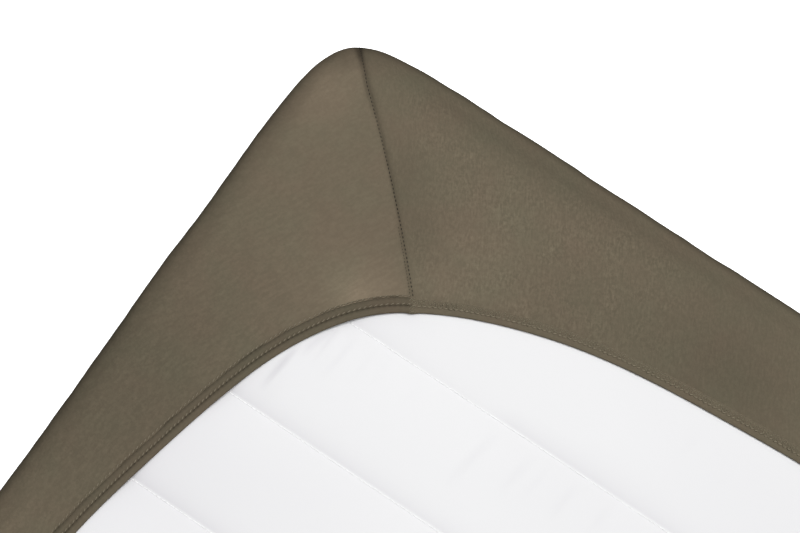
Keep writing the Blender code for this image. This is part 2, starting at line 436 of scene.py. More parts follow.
# %% Match columns to the hem
def hem_steps_of_quarter(corner):
    """For each column of the quarter, how many steps along the hem it ends."""
    at_seam = nearest_on_hem(*seam_foot(corner))
    at_long = nearest_on_hem(*to_world(corner, HEM_LONG_SIDE[-1][1], half_y))
    at_short = nearest_on_hem(*to_world(corner, half_x, HEM_SHORT_SIDE[-1][1]))
    turn = corner[0] * corner[1]
    to_seam = (turn * (at_seam - at_long)) % hem_count
    steps = np.arange(to_seam + (turn * (at_short - at_seam)) % hem_count + 1)
    path = hem_line[(at_long + turn * steps) % hem_count]
    path_u = half_x - corner[0] * path[:, 0]
    path_v = half_y - corner[1] * path[:, 1]
    fan_long = int(np.argmin(np.abs(path_v[:to_seam] - FAN_REACH)))
    fan_short = to_seam + int(np.argmin(np.abs(path_u[to_seam:] - FAN_REACH)))
    before = np.arange(len(outer_uv)) < seam_column
    end = np.where(before, fan_long, fan_short)
    fanned = to_seam + (end - to_seam) * fan_share
    beyond_long = np.interp(-outer_uv[:, 1], -path_v[:to_seam], steps[:to_seam])
    beyond_short = np.interp(outer_uv[:, 0], path_u[to_seam:], steps[to_seam:])
    straight = np.where(before, beyond_long, beyond_short)
    return at_long + turn * np.where(fan_share < 1.0, fanned, straight)


print("the picture's corner takes", round(float(np.ptp(hem_steps_of_quarter(CORNERS[1])))), "steps")

# %% [markdown]
# ## All columns
#
# The quarter is now laid at every corner.  Two corners are mirror images, so their columns
# come out in the other order and are turned round before the four lists join into one ring.

# %% All columns round the mattress
def gather_columns():
    columns = {"outer": [], "inner": [], "hem": [], "corner": [], "side": []}
    for number, corner in enumerate(CORNERS):
        outer = np.stack(to_world(corner, *outer_uv.T), axis=1)
        inner = np.stack(to_world(corner, *inner_uv.T), axis=1)
        hem = hem_steps_of_quarter(corner)
        side = np.where(np.arange(len(outer)) < seam_column, -1, 1)
        side[seam_column] = 0
        for name, values in (("outer", outer), ("inner", inner), ("hem", hem), ("side", side)):
            columns[name].append(values[:: corner[0] * corner[1]][:-1])
        columns["corner"].append(np.full(len(outer) - 1, number))
    return {name: np.concatenate(parts) for name, parts in columns.items()}


columns = gather_columns()
column_count = len(columns["outer"])
print("columns round the mattress", column_count)

# %% [markdown]
# ## How the flap lies
#
# The flap is pulled tight, yet it isn't flat.  The seam is held down by its layers of
# cloth, so the flap stands a few millimetres off the mattress on both sides of it and
# sinks again further away.  This is given as a height for any point of a corner, from
# its distance to the seam and its place along it.

# %% Seam and lift
seam_end_uv = np.array(HEM_SHORT_SIDE[0])
seam_run = float(np.linalg.norm(seam_end_uv - seam_inner_uv))
seam_way = (seam_end_uv - seam_inner_uv) / seam_run
seam_across = np.array([seam_way[1], -seam_way[0]])      # towards the short side
SEAM_BOW = 2.9 * MM              # the seam is drawn towards the short side at mid length
BOW_REACH = 60 * MM
LIFT_LONG_SIDE = 46 * MM         # from the seam to where the cloth stands highest
LIFT_SHORT_SIDE = 31 * MM
LIFT_START = 0.12                # the lift has begun when the cloth reaches the flat
LIFT_GONE = math.radians(60)     # and is gone where the edge is this steep
LIFT_LEAN = 0.75                 # under 1 the highest place lies nearer to the edge
LIFT_FLATNESS = 0.8              # under 1 the top is broad


def bow_at(along):
    inside = np.clip(along, 0, 1)
    return SEAM_BOW * 4 * inside * (1 - inside)


def seam_place(uv):
    """Distance along the seam as a share, and distance across it, of points of a corner."""
    rel = uv - seam_inner_uv
    along = rel @ seam_way / seam_run
    return along, rel @ seam_across - bow_at(along)


def lift(across, share, height_long, height_short):
    """Height of the cloth over its lowest position; share runs from 0 to 1 at the hem."""
    reach = np.where(across < 0, LIFT_LONG_SIDE, LIFT_SHORT_SIDE)
    height = np.where(across < 0, height_long, height_short)
    part = np.abs(across) / reach
    edge = np.sin(np.pi * np.clip(share, 0, 1) ** LIFT_LEAN) ** LIFT_FLATNESS
    return height * part * np.exp(1 - part) * edge


print("seam runs", round(seam_run, 4), "m from the edge to the hem")

# %% [markdown]
# ## Folds laid one by one
#
# A few soft creases can be seen where the corner pulls on the cloth.  Each is one row: the
# corner it belongs to, where it starts and ends, how wide it is and how high it stands.  A
# crease is a bell across its line, and fades out towards both ends.  A trough is a crease
# of negative height.

# %% Creases
CREASES = (
    # corner, start u, start v, end u, end v, half width, height (all in mm)
    (1, 22, 14, 74, 62, 2.6, -0.9),
    (1, 30, 12, 74, 46, 6.5, 0.9),
    (1, 40, 75, 120, 150, 13, 0.5),
    (1, 25, 110, 95, 165, 12, -0.5),
    (1, 30, 190, 95, 215, 14, 0.4),
    (1, 25, 260, 70, 285, 12, -0.4),
    (1, 60, 22, 190, 78, 11, -0.8),
    (1, 110, 55, 260, 95, 13, 0.6),
    (1, 170, 28, 330, 60, 12, -0.6),
    (1, 150, 110, 230, 128, 8, 0.5),
    (1, 300, 35, 460, 75, 16, 0.5),
    (0, 24, 15, 70, 58, 3.4, -1.0),
    (0, 30, 90, 120, 145, 14, 0.6),
    (0, 70, 30, 210, 85, 12, -0.8),
    (0, 180, 40, 330, 80, 14, 0.6),
    (2, 22, 14, 80, 68, 3.0, -1.2),
    (2, 28, 120, 100, 160, 12, -0.7),
    (2, 60, 28, 180, 95, 10, 0.7),
    (2, 200, 40, 360, 70, 15, -0.6),
    (3, 24, 13, 72, 60, 3.4, -1.0),
    (3, 35, 80, 115, 150, 13, 0.7),
    (3, 80, 30, 240, 80, 13, -0.7),
    (3, 30, 230, 80, 255, 13, 0.5),
)


def bell(away, half_width):
    """1 in the middle, and 0.37 at the half width."""
    return np.exp(-((away / half_width) ** 2))


def crease_height(corner_numbers, uv):
    """Sum of the creases at points given in their own corner's (u, v)."""
    total = np.zeros(len(uv))
    for number, u0, v0, u1, v1, width, height in CREASES:
        start = np.array([u0, v0]) * MM
        run = np.array([u1, v1]) * MM - start
        length = np.linalg.norm(run)
        way = run / length
        rel = uv - start
        along = rel @ way / length
        off = rel[:, 0] * way[1] - rel[:, 1] * way[0]
        ends = np.sin(np.pi * np.clip(along, 0, 1)) ** 0.7
        total += (corner_numbers == number) * height * MM * ends * bell(off, width * MM)
    return total


print(len(CREASES), "creases, the deepest", min(row[-1] for row in CREASES), "mm")

# %% [markdown]
# ## Where the cloth is stretched, and painted light and shade
#
# Cotton cloth over something white looks paler where it's pulled thin and deeper where it
# lies slack.  At a corner that is easy to see: pale where the elastic drags the cloth down
# beside the end of the seam, deep along the other side of the seam.  These patches also paint
# light and shade that the lamp and the relief don't give: pale where the cloth beside the
# seam faces the light, deep where it faces away and in a band under the short side's edge.
# So the patches are given as a table and painted on.  Each belongs to one side of its seam,
# which keeps the change at the seam sharp.

# %% Patches of pulled cloth and of painted light and shade
# Each row paints a pale or deep patch: partly cloth pulled thin, partly painted light and shade.
STRETCH_AND_PAINTED_LIGHT = (
    # corner, side of the seam (-1 long, 1 short), u, v, reach in u, reach in v (mm), share
    (1, -1, 28, 52, 26, 40, 0.20),
    (1, -1, 150, 178, 34, 30, 0.27),
    (1, -1, 141, 184, 17, 12, 0.21),
    (1, -1, 27, 32, 12, 12, -0.22),
    (1, 1, 34, 24, 14, 12, -0.12),
    (1, -1, 60, 110, 60, 50, 0.03),
    (1, -1, 100, 175, 40, 40, 0.04),
    (1, -1, 30, 325, 75, 105, -0.185),
    (1, -1, 30, 420, 70, 60, -0.06),
    (1, -1, 85, 340, 40, 60, -0.03),
    (1, 1, 118, 88, 22, 26, -0.08),
    (1, 1, 148, 115, 22, 22, -0.09),
    (1, 1, 205, 105, 38, 36, 0.09),
    (1, 1, 185, 140, 20, 14, 0.09),
    (1, 1, 200, 20, 190, 14, -0.16),
    (1, 1, 290, 95, 70, 30, -0.05),
    (1, 1, 400, 75, 70, 50, -0.18),
    (0, -1, 30, 60, 28, 45, 0.16),
    (0, -1, 145, 180, 30, 32, 0.20),
    (0, 1, 130, 95, 26, 28, -0.09),
    (0, 1, 220, 100, 45, 40, 0.10),
    (2, -1, 32, 70, 30, 50, 0.14),
    (2, -1, 140, 175, 34, 30, 0.16),
    (2, -1, 40, 280, 60, 90, -0.08),
    (2, 1, 140, 105, 28, 26, -0.08),
    (3, -1, 150, 185, 32, 32, 0.18),
    (3, 1, 125, 90, 26, 28, -0.08),
    (3, 1, 240, 90, 50, 40, 0.09),
)


def stretch_and_painted_light_at(corner_numbers, uv):
    """How much paler the cloth is painted than usual, as a share of its colour: for cloth
    pulled thin, and as painted light and shade.
    """
    _, across = seam_place(uv)
    total = np.zeros(len(uv))
    for number, side, u, v, reach_u, reach_v, share in STRETCH_AND_PAINTED_LIGHT:
        patch = np.exp(-(((uv[:, 0] / MM - u) / reach_u) ** 2) - ((uv[:, 1] / MM - v) / reach_v) ** 2)
        mine = np.clip(0.5 + side * across / (2 * MM), 0, 1)
        total += (corner_numbers == number) * patch * mine * share
    return total


print(len(STRETCH_AND_PAINTED_LIGHT), "patches, the palest", max(row[-1] for row in STRETCH_AND_PAINTED_LIGHT))

# %% [markdown]
# ## Small unevenness
#
# Foam is never dead flat, and neither is the cloth on it.  A noise texture could roughen the
# mesh, but a few slow waves that cross each other are smoother, and their height is known.

# %% Small unevenness
UNEVEN = (
    # one wave in mm, direction in degrees, height in mm
    (31, 20, 0.10),
    (23, 75, 0.07),
    (17, 130, 0.05),
    (43, 160, 0.12),
    (71, 50, 0.16),
    (120, 100, 0.25),
)


def unevenness(x, y, z):
    """Height at a point.  The drift bends the waves, so that they don't look ruled."""
    total = np.zeros_like(x)
    for number, (wave, direction, height) in enumerate(UNEVEN):
        angle = math.radians(direction)
        along = x * math.cos(angle) + y * math.sin(angle) + 0.8 * z
        drift = 1.3 * np.sin(along * 2.1 / (wave * MM) + number)
        total += height * MM * np.sin(2 * math.pi * along / (wave * MM) + drift + 1.7 * number)
    return total


print("the waves add up to", round(sum(row[2] for row in UNEVEN), 2), "mm at most")

# %% [markdown]
# ## The sheet
#
# The cloth is one closed mesh, 1.5 mm thick: up the outside of the mattress, over its edge,
# along the flap and under the hem, then back on the inside.  Every row of points has a
# direction that the cloth faces there, and all the relief is added along it.  The sleeping
# face underneath is flat.

# %% Sizes of the rows
LOWER_EDGE_ROWS = 7
WALL_ROWS = 6
EDGE_ROWS = 15
FLAP_ROWS = 25
INNER_SHARES = (0.85, 0.55, 0.25)    # rows under the flap, as shares of the way to the hem
INNER_EDGE_ROWS = 6
INNER_LOWER_ROWS = 5
HEM_WIDE = 13.0 * MM             # from the free edge to the upper stitches, long side
HEM_NARROW = 9.9 * MM            # the same on the short side
HEM_LOW_WIDE = 6.4 * MM          # from the free edge to the lower stitches
HEM_LOW_NARROW = 4.7 * MM


def ease(share):
    """A share from 0 to 1 with a soft start and end."""
    return share * share * (3 - 2 * share)


def hem_side(steps):
    """0 on the long sides and 1 on the short sides, with a quick change at each seam."""
    return ease(hem_read(hem_side_table, steps))


def make_hem_side_table():
    table = np.zeros(hem_count)
    for corner in CORNERS:
        at_seam = nearest_on_hem(*seam_foot(corner))
        at_short = nearest_on_hem(*to_world(corner, half_x, HEM_SHORT_SIDE[-1][1]))
        turn = corner[0] * corner[1]
        count = (turn * (at_short - at_seam)) % hem_count
        table[(at_seam + turn * np.arange(count + 1)) % hem_count] = 1.0
    return smooth_round(table, 3.0 * MM / hem_step)


hem_side_table = make_hem_side_table()
column_hem = hem_read(hem_line, columns["hem"])
column_hem_out = unit(hem_read(hem_out, columns["hem"]))
column_side = hem_side(columns["hem"])
hem_band = HEM_WIDE + (HEM_NARROW - HEM_WIDE) * column_side
column_tuck = column_hem + column_hem_out * hem_band[:, None]
column_corner = np.array(CORNERS)[columns["corner"]]
column_out = unit(columns["outer"] - columns["inner"])
flap_length = np.linalg.norm(column_tuck - columns["inner"], axis=1)
print("the flat flap is", round(flap_length.min(), 3), "to", round(flap_length.max(), 3), "m long")

# %% [markdown]
# ## The fold along the edge
#
# The edge of the foam is more a bevel than a round, so the cloth breaks twice over it: once
# where it leaves the flap and once above the wall.  Loops cut into the mesh could shape it,
# but three bells across the edge, one trough and two ridges, do the same and fade out
# towards the corner.

# %% The fold along the mattress's edge
EDGE_FOLD = (
    # distance in from the side, half width, height (all in mm)
    (16.0, 5.5, -0.95),
    (27.5, 5.0, 0.50),
    (6.5, 3.6, 0.50),
)
FOLD_ON_LONG_SIDE = 0.3
FOLD_STARTS = 60 * MM
FOLD_FULL = 130 * MM


def ramp(value, start, end):
    """A share that climbs from 0 at the start to 1 at the end."""
    return np.clip((value - start) / (end - start), 0, 1)


def edge_fold(uv):
    total = np.zeros(len(uv))
    for axis, strength in ((0, FOLD_ON_LONG_SIDE), (1, 1.0)):
        away, along = uv[:, axis], uv[:, 1 - axis]
        here = ramp(along, FOLD_STARTS, FOLD_FULL)
        for place, width, height in EDGE_FOLD:
            total += strength * here * bell(away / MM - place, width) * height * MM
    return total


print("on a short side the fold is", EDGE_FOLD[0][2], "mm deep,", EDGE_FOLD[0][0], "mm from the side")

# %% [markdown]
# ## The sides of the corner in the picture
#
# No side of soft foam is quite straight, and an outline against white shows it at once.  For
# distances from the corner, these tables say how far the side stands out, in millimetres.
# The push fades away down the wall and in over the flap.

# %% The sides of the corner in the picture
LONG_SIDE_AT = (0, 35, 60, 89, 126, 165, 203, 241, 279, 318, 357, 395, 450)
LONG_SIDE_OUT = (-0.45, -0.5, -0.9, -1.1, -0.4, -0.4, -0.5, 0.1, 0.5, -0.2, -0.8, -0.3, 0.0)
SHORT_SIDE_AT = (0, 25, 48, 74, 126, 153, 179, 206, 233, 287, 313, 340, 367, 420)
SHORT_SIDE_OUT = (-0.45, -0.4, -0.1, 0.0, 0.45, 0.35, 0.5, 0.6, 0.25, 0.2, 0.1, -0.3, -0.2, 0.0)
SIDE_REACH = 16 * MM             # in from the outline
SIDE_LOW, SIDE_HIGH = 30 * MM, 80 * MM       # it's straight below and full above


def side_waves(xy, uv, z):
    on_long = columns["side"] <= 0
    out = np.where(
        on_long,
        np.interp(uv[:, 1] / MM, LONG_SIDE_AT, LONG_SIDE_OUT),
        np.interp(uv[:, 0] / MM, SHORT_SIDE_AT, SHORT_SIDE_OUT),
    )
    away = np.linalg.norm(xy - columns["outer"], axis=1)
    return out * MM * bell(away, SIDE_REACH) * ramp(z, SIDE_LOW, SIDE_HIGH) * (columns["corner"] == 1)


print("the long side stands out by", min(LONG_SIDE_OUT), "to", max(LONG_SIDE_OUT), "mm")

# %% [markdown]
# ## One row of the sheet
#
# All the relief comes together here.  A row starts as plain points; creases, waves, the fold
# and the seam's groove are added along the direction that the cloth faces, and the flap is
# lifted.  Displace modifiers could do this as well, but with plain arrays the stitches can
# later be laid on exactly the same surface.

# %% Sections of the sheet
CREASES_GROW = 6                 # creases are whole after 1/6 of the way to the hem
SEAM_GROWS = 8                   # and the seam's groove after 1/8
SEAM_GROOVE = 0.45 * MM
SEAM_GROOVE_HALF = 1.6 * MM
ALLOWANCE_RISE = 0.30 * MM       # the folded seam allowance under the cloth
ALLOWANCE_WIDTH = 6.5 * MM


def corner_uv(xy):
    """World places as (u, v) of the corner that each column belongs to."""
    half = np.array([half_x, half_y])
    return half - column_corner[:, :2] * xy


def seam_relief(across, share):
    """The groove of the seam, and the folded allowance beside it on the short side."""
    groove = -SEAM_GROOVE * bell(across, SEAM_GROOVE_HALF) * (0.3 + 0.7 * share)
    middle = (across - ALLOWANCE_WIDTH / 2 - 1 * MM) / (ALLOWANCE_WIDTH / 2)
    return groove + ALLOWANCE_RISE * np.exp(-(middle**4)) * share


def lifted_row(xy, z, angle, share, up):
    """One row: the cloth faces outwards at angle 90 degrees and up (or down) at 0."""
    uv = corner_uv(xy)
    _, across = seam_place(uv)
    facing = np.full(column_count, up * math.cos(angle))
    normal = np.column_stack([column_out * math.sin(angle), facing])
    relief = crease_height(columns["corner"], uv) * np.clip(share * CREASES_GROW, 0, 1)
    relief += unevenness(xy[:, 0], xy[:, 1], z)
    relief += edge_fold(uv) * (up > 0)
    relief += side_waves(xy, uv, z) * (up > 0)
    relief += seam_relief(across, np.clip(share * SEAM_GROWS, 0, 1))
    row = np.column_stack([xy, z]) + normal * relief[:, None]
    row[:, 2] += lift(across, share, column_corner[:, 3], column_corner[:, 4]) * (up > 0)
    return row


def at_height(xy, z):
    """Points from places on the plane and one height, or one height for each."""
    return np.column_stack([xy, np.broadcast_to(z, len(xy))])


def edge_row(angle, top, radius, up, relief=True):
    rim = columns["outer"] - column_out * (SHEET_EDGE - radius)
    xy = columns["inner"] + (rim - columns["inner"]) * math.sin(angle)
    z = np.full(column_count, top - up * radius * (1 - math.cos(angle)))
    if not relief:
        return at_height(xy, z)
    share = LIFT_START * max(0.0, 1 - angle / LIFT_GONE)
    row = lifted_row(xy, z, angle, share if up > 0 else 0.0, up)
    if up < 0:
        row[:, 2] = np.maximum(row[:, 2], z)
    return row


def flap_xy(share):
    """From the mattress's edge to the upper stitches of the hem, bowed beside the seam."""
    share = np.broadcast_to(share, column_count)[:, None]
    xy = columns["inner"] + (column_tuck - columns["inner"]) * share
    along, across = seam_place(corner_uv(xy))
    bow = bow_at(along) * bell(across, BOW_REACH)
    return xy - (seam_across * bow[:, None]) * column_corner[:, :2]


def flap_lift(xy, share):
    _, across = seam_place(corner_uv(xy))
    whole = LIFT_START + (1 - LIFT_START) * share
    return lift(across, whole, column_corner[:, 3], column_corner[:, 4])


print("beside a seam the folded cloth adds", ALLOWANCE_RISE / MM, "mm")

# %% [markdown]
# ## All rows of the sheet
#
# The rows follow the cloth round: over the lower edge, up the wall, over the upper edge,
# along the flap, under the hem and back on the inside.  The last rows of the flap dive under
# the hem, as the sewn cloth does.

# %% Rows of the outside
DIVE_DEPTH = 0.45 * MM           # how deep the flap ends under its top
DIVE_REACH = 2.5 * MM
CLOSE_ROWS = 4 * MM              # the last rows share this length before the stitches
CLOSE_AT = (0.5, 0.2, 0.0)       # and lie at these shares of it from the hem
CLOSE_SHARE = 0.3                # at most this share of the flap, where it's narrow


def outside_rows():
    rows = []
    for angle in np.linspace(0, math.pi / 2, LOWER_EDGE_ROWS):
        rows.append(edge_row(angle, 0.0, SHEET_EDGE, -1))
    for z in np.linspace(SHEET_EDGE, flap_top - SHEET_EDGE, WALL_ROWS + 2)[1:-1]:
        rows.append(lifted_row(columns["outer"], np.full(column_count, z), math.pi / 2, 0.0, 1))
    for angle in np.linspace(math.pi / 2, 0, EDGE_ROWS + 1):
        rows.append(edge_row(angle, flap_top, SHEET_EDGE, 1))
    last = np.minimum(CLOSE_ROWS / flap_length, CLOSE_SHARE)
    shares = [s * (1 - last) for s in np.linspace(0, 1, FLAP_ROWS + 1)[1:]]
    shares += [1 - last * part for part in CLOSE_AT]
    for share in shares:
        xy = flap_xy(share)
        whole = LIFT_START + (1 - LIFT_START) * share
        row = lifted_row(xy, np.full(column_count, flap_top), 0.0, whole, 1)
        settle = bell((1 - share) * flap_length, DIVE_REACH)
        row[:, 2] += (flap_top - DIVE_DEPTH - row[:, 2]) * settle
        rows.append(row)
    return rows


def tucked_rows():
    """Under the hem, where the cloth turns back in two short steps."""
    first = column_tuck - column_hem_out * 1.2 * MM
    second = column_tuck - column_hem_out * 2.4 * MM
    return [
        at_height(first, flap_top - 0.6 * MM),
        at_height(second, flap_top - 0.9 * MM),
        at_height(second, flap_inside),
    ]


def inside_rows():
    rows = []
    for share in INNER_SHARES:
        xy = flap_xy(share)
        rows.append(at_height(xy, flap_inside + flap_lift(xy, share)))
    radius = SHEET_EDGE - CLOTH
    for angle in np.linspace(0, math.pi / 2, INNER_EDGE_ROWS):
        rows.append(edge_row(angle, flap_inside, radius, 1, relief=False))
    for angle in np.linspace(math.pi / 2, 0, INNER_LOWER_ROWS):
        rows.append(edge_row(angle, CLOTH, radius, -1, relief=False))
    return rows


OUTSIDE_COUNT = len(outside_rows())
print("the outside of the sheet has", OUTSIDE_COUNT, "rows")

# %% [markdown]
# ## Make the sheet
#
# With all rows in one grid, the mesh is quick to make: quads between them, and one large
# face at each end, which are the sleeping face and its inside.


# %% Make the sheet
def build_sheet_cloth():
    rows = outside_rows() + tucked_rows() + inside_rows()
    grid = np.stack(rows, axis=1)
    faces = list(grid_faces(column_count, len(rows), True, False))
    starts = np.arange(column_count) * len(rows)
    faces.append(starts[::-1])
    faces.append(starts + len(rows) - 1)
    cloth = mesh_object("sheet_cloth", grid.reshape(-1, 3), faces)
    print("sheet_cloth", count_triangles(cloth), "triangles in", len(rows), "rows")
    return cloth, grid


sheet_cloth, sheet_grid = build_sheet_cloth()

# %% [markdown]
# ## The hem
#
# The free edge is folded over an elastic and sewn down with two rows.  The elastic fills
# the fold, so the cloth stands up between the rows and dips at each of them, deepest at the
# needle's holes.  A bevelled curve would give a round cord, so a section of its own, given as
# a table, runs along the line instead.  Four columns for each stitch are enough for the small
# puckers.  The upper row lies where the flap dives under the hem, so the two meet out of sight.

# %% Section of the hem
HEM_SECTION = (
    # share of the way from the free edge to the lower stitches (0 to 1) and on to the upper
    # stitches (1 to 2), height over the flap in mm, share of the pucker, depth of shade
    (2.34, -0.95, 0.0, 0.0),
    (2.18, -0.75, 0.0, 0.0),
    (2.02, -0.15, 0.3, 0.2),
    (1.88, -0.60, 1.0, 1.0),
    (1.74, 0.35, 0.5, 0.62),
    (1.52, 0.80, 0.1, 0.48),
    (1.28, 0.78, 0.1, 0.38),
    (1.04, 0.15, 0.3, 0.35),
    (0.90, -0.55, 1.0, 1.0),
    (0.76, 0.55, 0.4, 0.55),
    (0.52, 0.95, 0.1, 0.36),
    (0.26, 0.85, 0.1, 0.33),
    (0.08, 0.25, 0.0, 0.22),
    (0.00, -0.60, 0.0, 0.4),
    (0.05, -2.10, 0.0, 0.4),
    (0.20, -2.25, 0.0, 0.0),
    (2.10, -1.45, 0.0, 0.0),
)
UPPER_ROW, LOWER_ROW = 2, 7      # rows of the section in which the stitches lie
SEEN_FROM, SEEN_TO, SEEN_ABOVE = 0.05, 2.1, -0.9     # rows of the section that can be seen
PUCKER = 0.22 * MM
HEM_FLATTER = 0.25               # the short side's hem is softer than the long side's
HEM_WAVES = 2.1                  # the cloth's waves are shorter along the hem, and lower
HEM_WAVES_LOWER = 0.6
SEAM_LUMP = 1.0 * MM             # where the corner seam's layers are folded into the hem
SEAM_LUMP_HALF = 4.0 * MM
SEAM_LUMP_OUT = 0.9              # mm that the free edge is pushed in over the mattress there

hem_numbers = np.arange(hem_count)
hem_side_here = hem_side(hem_numbers.astype(float))
hem_low = HEM_LOW_WIDE + (HEM_LOW_NARROW - HEM_LOW_WIDE) * hem_side_here
hem_high = HEM_WIDE + (HEM_NARROW - HEM_WIDE) * hem_side_here
hole = 0.5 + 0.5 * np.cos(2 * math.pi * hem_numbers / STEPS_PER_STITCH)


def hem_lump():
    lump = np.zeros(hem_count)
    for corner in CORNERS:
        x, y = seam_foot(corner)
        lump += bell(np.hypot(hem_line[:, 0] - x, hem_line[:, 1] - y), SEAM_LUMP_HALF)
    return lump


def hem_places_at(share):
    """Distance in from the free edge for a share between 0 and 2 (see the table)."""
    return np.where(share <= 1, hem_low * share, hem_low + (hem_high - hem_low) * (share - 1))


def build_sheet_hem():
    lump = hem_lump()
    quick = hem_line * HEM_WAVES
    slow = unevenness(quick[:, 0], quick[:, 1], np.zeros(hem_count)) * HEM_WAVES_LOWER
    rows = []
    for share, height, pucker, _ in HEM_SECTION:
        away = hem_places_at(share)
        xy = hem_line + hem_out * (away - lump * SEAM_LUMP_OUT * MM * (share < 0.3))[:, None]
        z = flap_top + height * MM
        if SEEN_FROM < share < SEEN_TO and height > SEEN_ABOVE:
            softer = 1 - (1 - HEM_FLATTER) * hem_side_here
            z = flap_top + height * MM * softer - PUCKER * pucker * hole * softer
            z += slow + SEAM_LUMP * lump * (0.5 if pucker > 0.9 else 1.0) * (share < 1.8)
        rows.append(at_height(xy, z))
    grid = np.stack(rows, axis=1)
    faces = grid_faces(hem_count, len(rows), True, True)
    hem = mesh_object("sheet_hem", grid.reshape(-1, 3), faces)
    print("sheet_hem", count_triangles(hem), "triangles")
    return hem, grid


sheet_hem, hem_grid = build_sheet_hem()

# %% [markdown]
# ## Sewing thread
#
# Each visible stitch is a short length of thread between two needle holes.  A little
# spindle with pointed ends does for it: the ends dive into the cloth as thread does.  Copies
# of one object along a curve would look the same, but the stitches also turn and shrink with
# the hem.  So all stitches of a row are one mesh, made at once from their middle points.

# %% Stitches
THREAD_SIDES = 6
SPINDLE = (
    # place along the thread from its middle (share of its length), thickness (share)
    (-0.28, 0.85),
    (0.0, 1.0),
    (0.28, 0.85),
)


def stitch_mesh(name, middles, ways, ups, length, radius):
    """One spindle for each middle; ways are along the stitch and ups away from the cloth."""
    across = np.cross(ways, ups)
    length = np.broadcast_to(length, len(middles))[:, None]
    radius = np.broadcast_to(radius, len(middles))[:, None]
    angles = np.arange(THREAD_SIDES) * 2 * math.pi / THREAD_SIDES
    points = [middles - ways * length / 2]
    for place, width in SPINDLE:
        for angle in angles:
            side = across * math.cos(angle) + ups * math.sin(angle)
            points.append(middles + ways * (place * length) + side * (width * radius))
    points.append(middles + ways * length / 2)
    last = len(points) - 1
    faces = []
    for k in range(THREAD_SIDES):
        k2 = (k + 1) % THREAD_SIDES
        faces += [(0, 1 + k2, 1 + k), (last, last - THREAD_SIDES + k, last - THREAD_SIDES + k2)]
    quads = []
    for ring in range(len(SPINDLE) - 1):
        for k in range(THREAD_SIDES):
            a = 1 + ring * THREAD_SIDES + k
            b = 1 + ring * THREAD_SIDES + (k + 1) % THREAD_SIDES
            quads.append((a, b, b + THREAD_SIDES, a + THREAD_SIDES))
    each = len(points)
    all_points = np.stack(points, axis=1).reshape(-1, 3)
    shift = np.arange(len(middles))[:, None, None] * each
    triangles = (np.array(faces)[None] + shift).reshape(-1, 3)
    fours = (np.array(quads)[None] + shift).reshape(-1, 4)
    thing = mesh_object(name, all_points, list(triangles) + list(fours))
    print(name, len(middles), "stitches,", count_triangles(thing), "triangles")
    return thing


print("a stitch takes", THREAD_SIDES * 2 * len(SPINDLE), "triangles")

# %% [markdown]
# ## The two rows of the hem
#
# A machine lays both rows at once, with two needles 6.4 mm apart.  The thread crosses its
# row a little, always the same way.  On the short sides the cloth closes over the upper row,
# which leaves short and thin stitches to see.

# %% Rows of the hem
STITCH_SLANT = math.radians(24)
THREAD_RISE = 0.24 * MM          # of the thread's middle over the bottom of its groove


def hem_stitches(name, section_row, length, radius, on_short_side):
    """Stitches between the holes; the last pair is their length and radius on short sides."""
    middle = hem_grid[2::STEPS_PER_STITCH, section_row]
    along, out = hem_tangent[2::STEPS_PER_STITCH], hem_out[2::STEPS_PER_STITCH]
    flat = along * math.cos(STITCH_SLANT) - out * math.sin(STITCH_SLANT)
    ways = at_height(flat, 0.0)
    ups = np.tile([0.0, 0.0, 1.0], (len(middle), 1))
    side = hem_side_here[2::STEPS_PER_STITCH]
    lengths = length * (1 + (on_short_side[0] - 1) * side)
    radii = radius * (1 + (on_short_side[1] - 1) * side)
    return stitch_mesh(name, middle + ups * THREAD_RISE, ways, ups, lengths, radii)


hem_stitches_upper = hem_stitches(
    "hem_stitches_upper", UPPER_ROW, 3.3 * MM, 0.34 * MM, on_short_side=(0.5, 0.5)
)
hem_stitches_lower = hem_stitches(
    "hem_stitches_lower", LOWER_ROW, 3.4 * MM, 0.36 * MM, on_short_side=(0.95, 1.5)
)

# %% [markdown]
# ## Cover stitches of the short sides
#
# On the short sides the hem shows its other face, where a looping thread runs to and fro
# between the two needles' rows.  Six short threads for each stitch, all leaning differently
# and each wandering a little by a sine, look like its loops.  Where a corner seam runs into
# the hem, more threads cross the hem and lock the layers.

# %% Cover stitches of the short sides
COVER_THREADS = (
    # place along one stitch (share), place across (1 lower row, 2 upper row), lean in degrees
    (0.05, 1.20, 62),
    (0.22, 1.72, -55),
    (0.45, 1.38, 70),
    (0.58, 1.85, 35),
    (0.74, 1.14, -40),
    (0.88, 1.56, -66),
)
COVER_HEIGHT_AT = (1.04, 1.28, 1.52, 1.74, 1.9)      # place across, as above
COVER_HEIGHT = (0.20, 0.62, 0.64, 0.36, -0.05)       # mm over the flap
COVER_LENGTH = 2.6 * MM
COVER_THREAD = 0.26 * MM
LOCKED_ROWS = (4, 5, 6, 7, 9, 10, 11, 12)            # rows of the hem's section
LOCKED_LEAN = math.radians(38)   # to one side and the other in turn
LOCKED_RISE = 0.10 * MM


def locked_ends():
    """Threads that cross the hem at the end of each corner seam: middles and ways."""
    for corner in CORNERS:
        seam = nearest_on_hem(*seam_foot(corner))
        for number, row in enumerate(LOCKED_ROWS):
            steps = (seam + np.array([-1, 0, 1]) * (1 + number % 2)) % hem_count
            lean = LOCKED_LEAN * (-1) ** number
            along, out = hem_tangent[steps], hem_out[steps]
            way = out * math.cos(lean) + along * math.sin(lean)
            place = hem_grid[steps, row] + np.array([0.0, 0.0, LOCKED_RISE])
            yield place, at_height(way, 0.0)


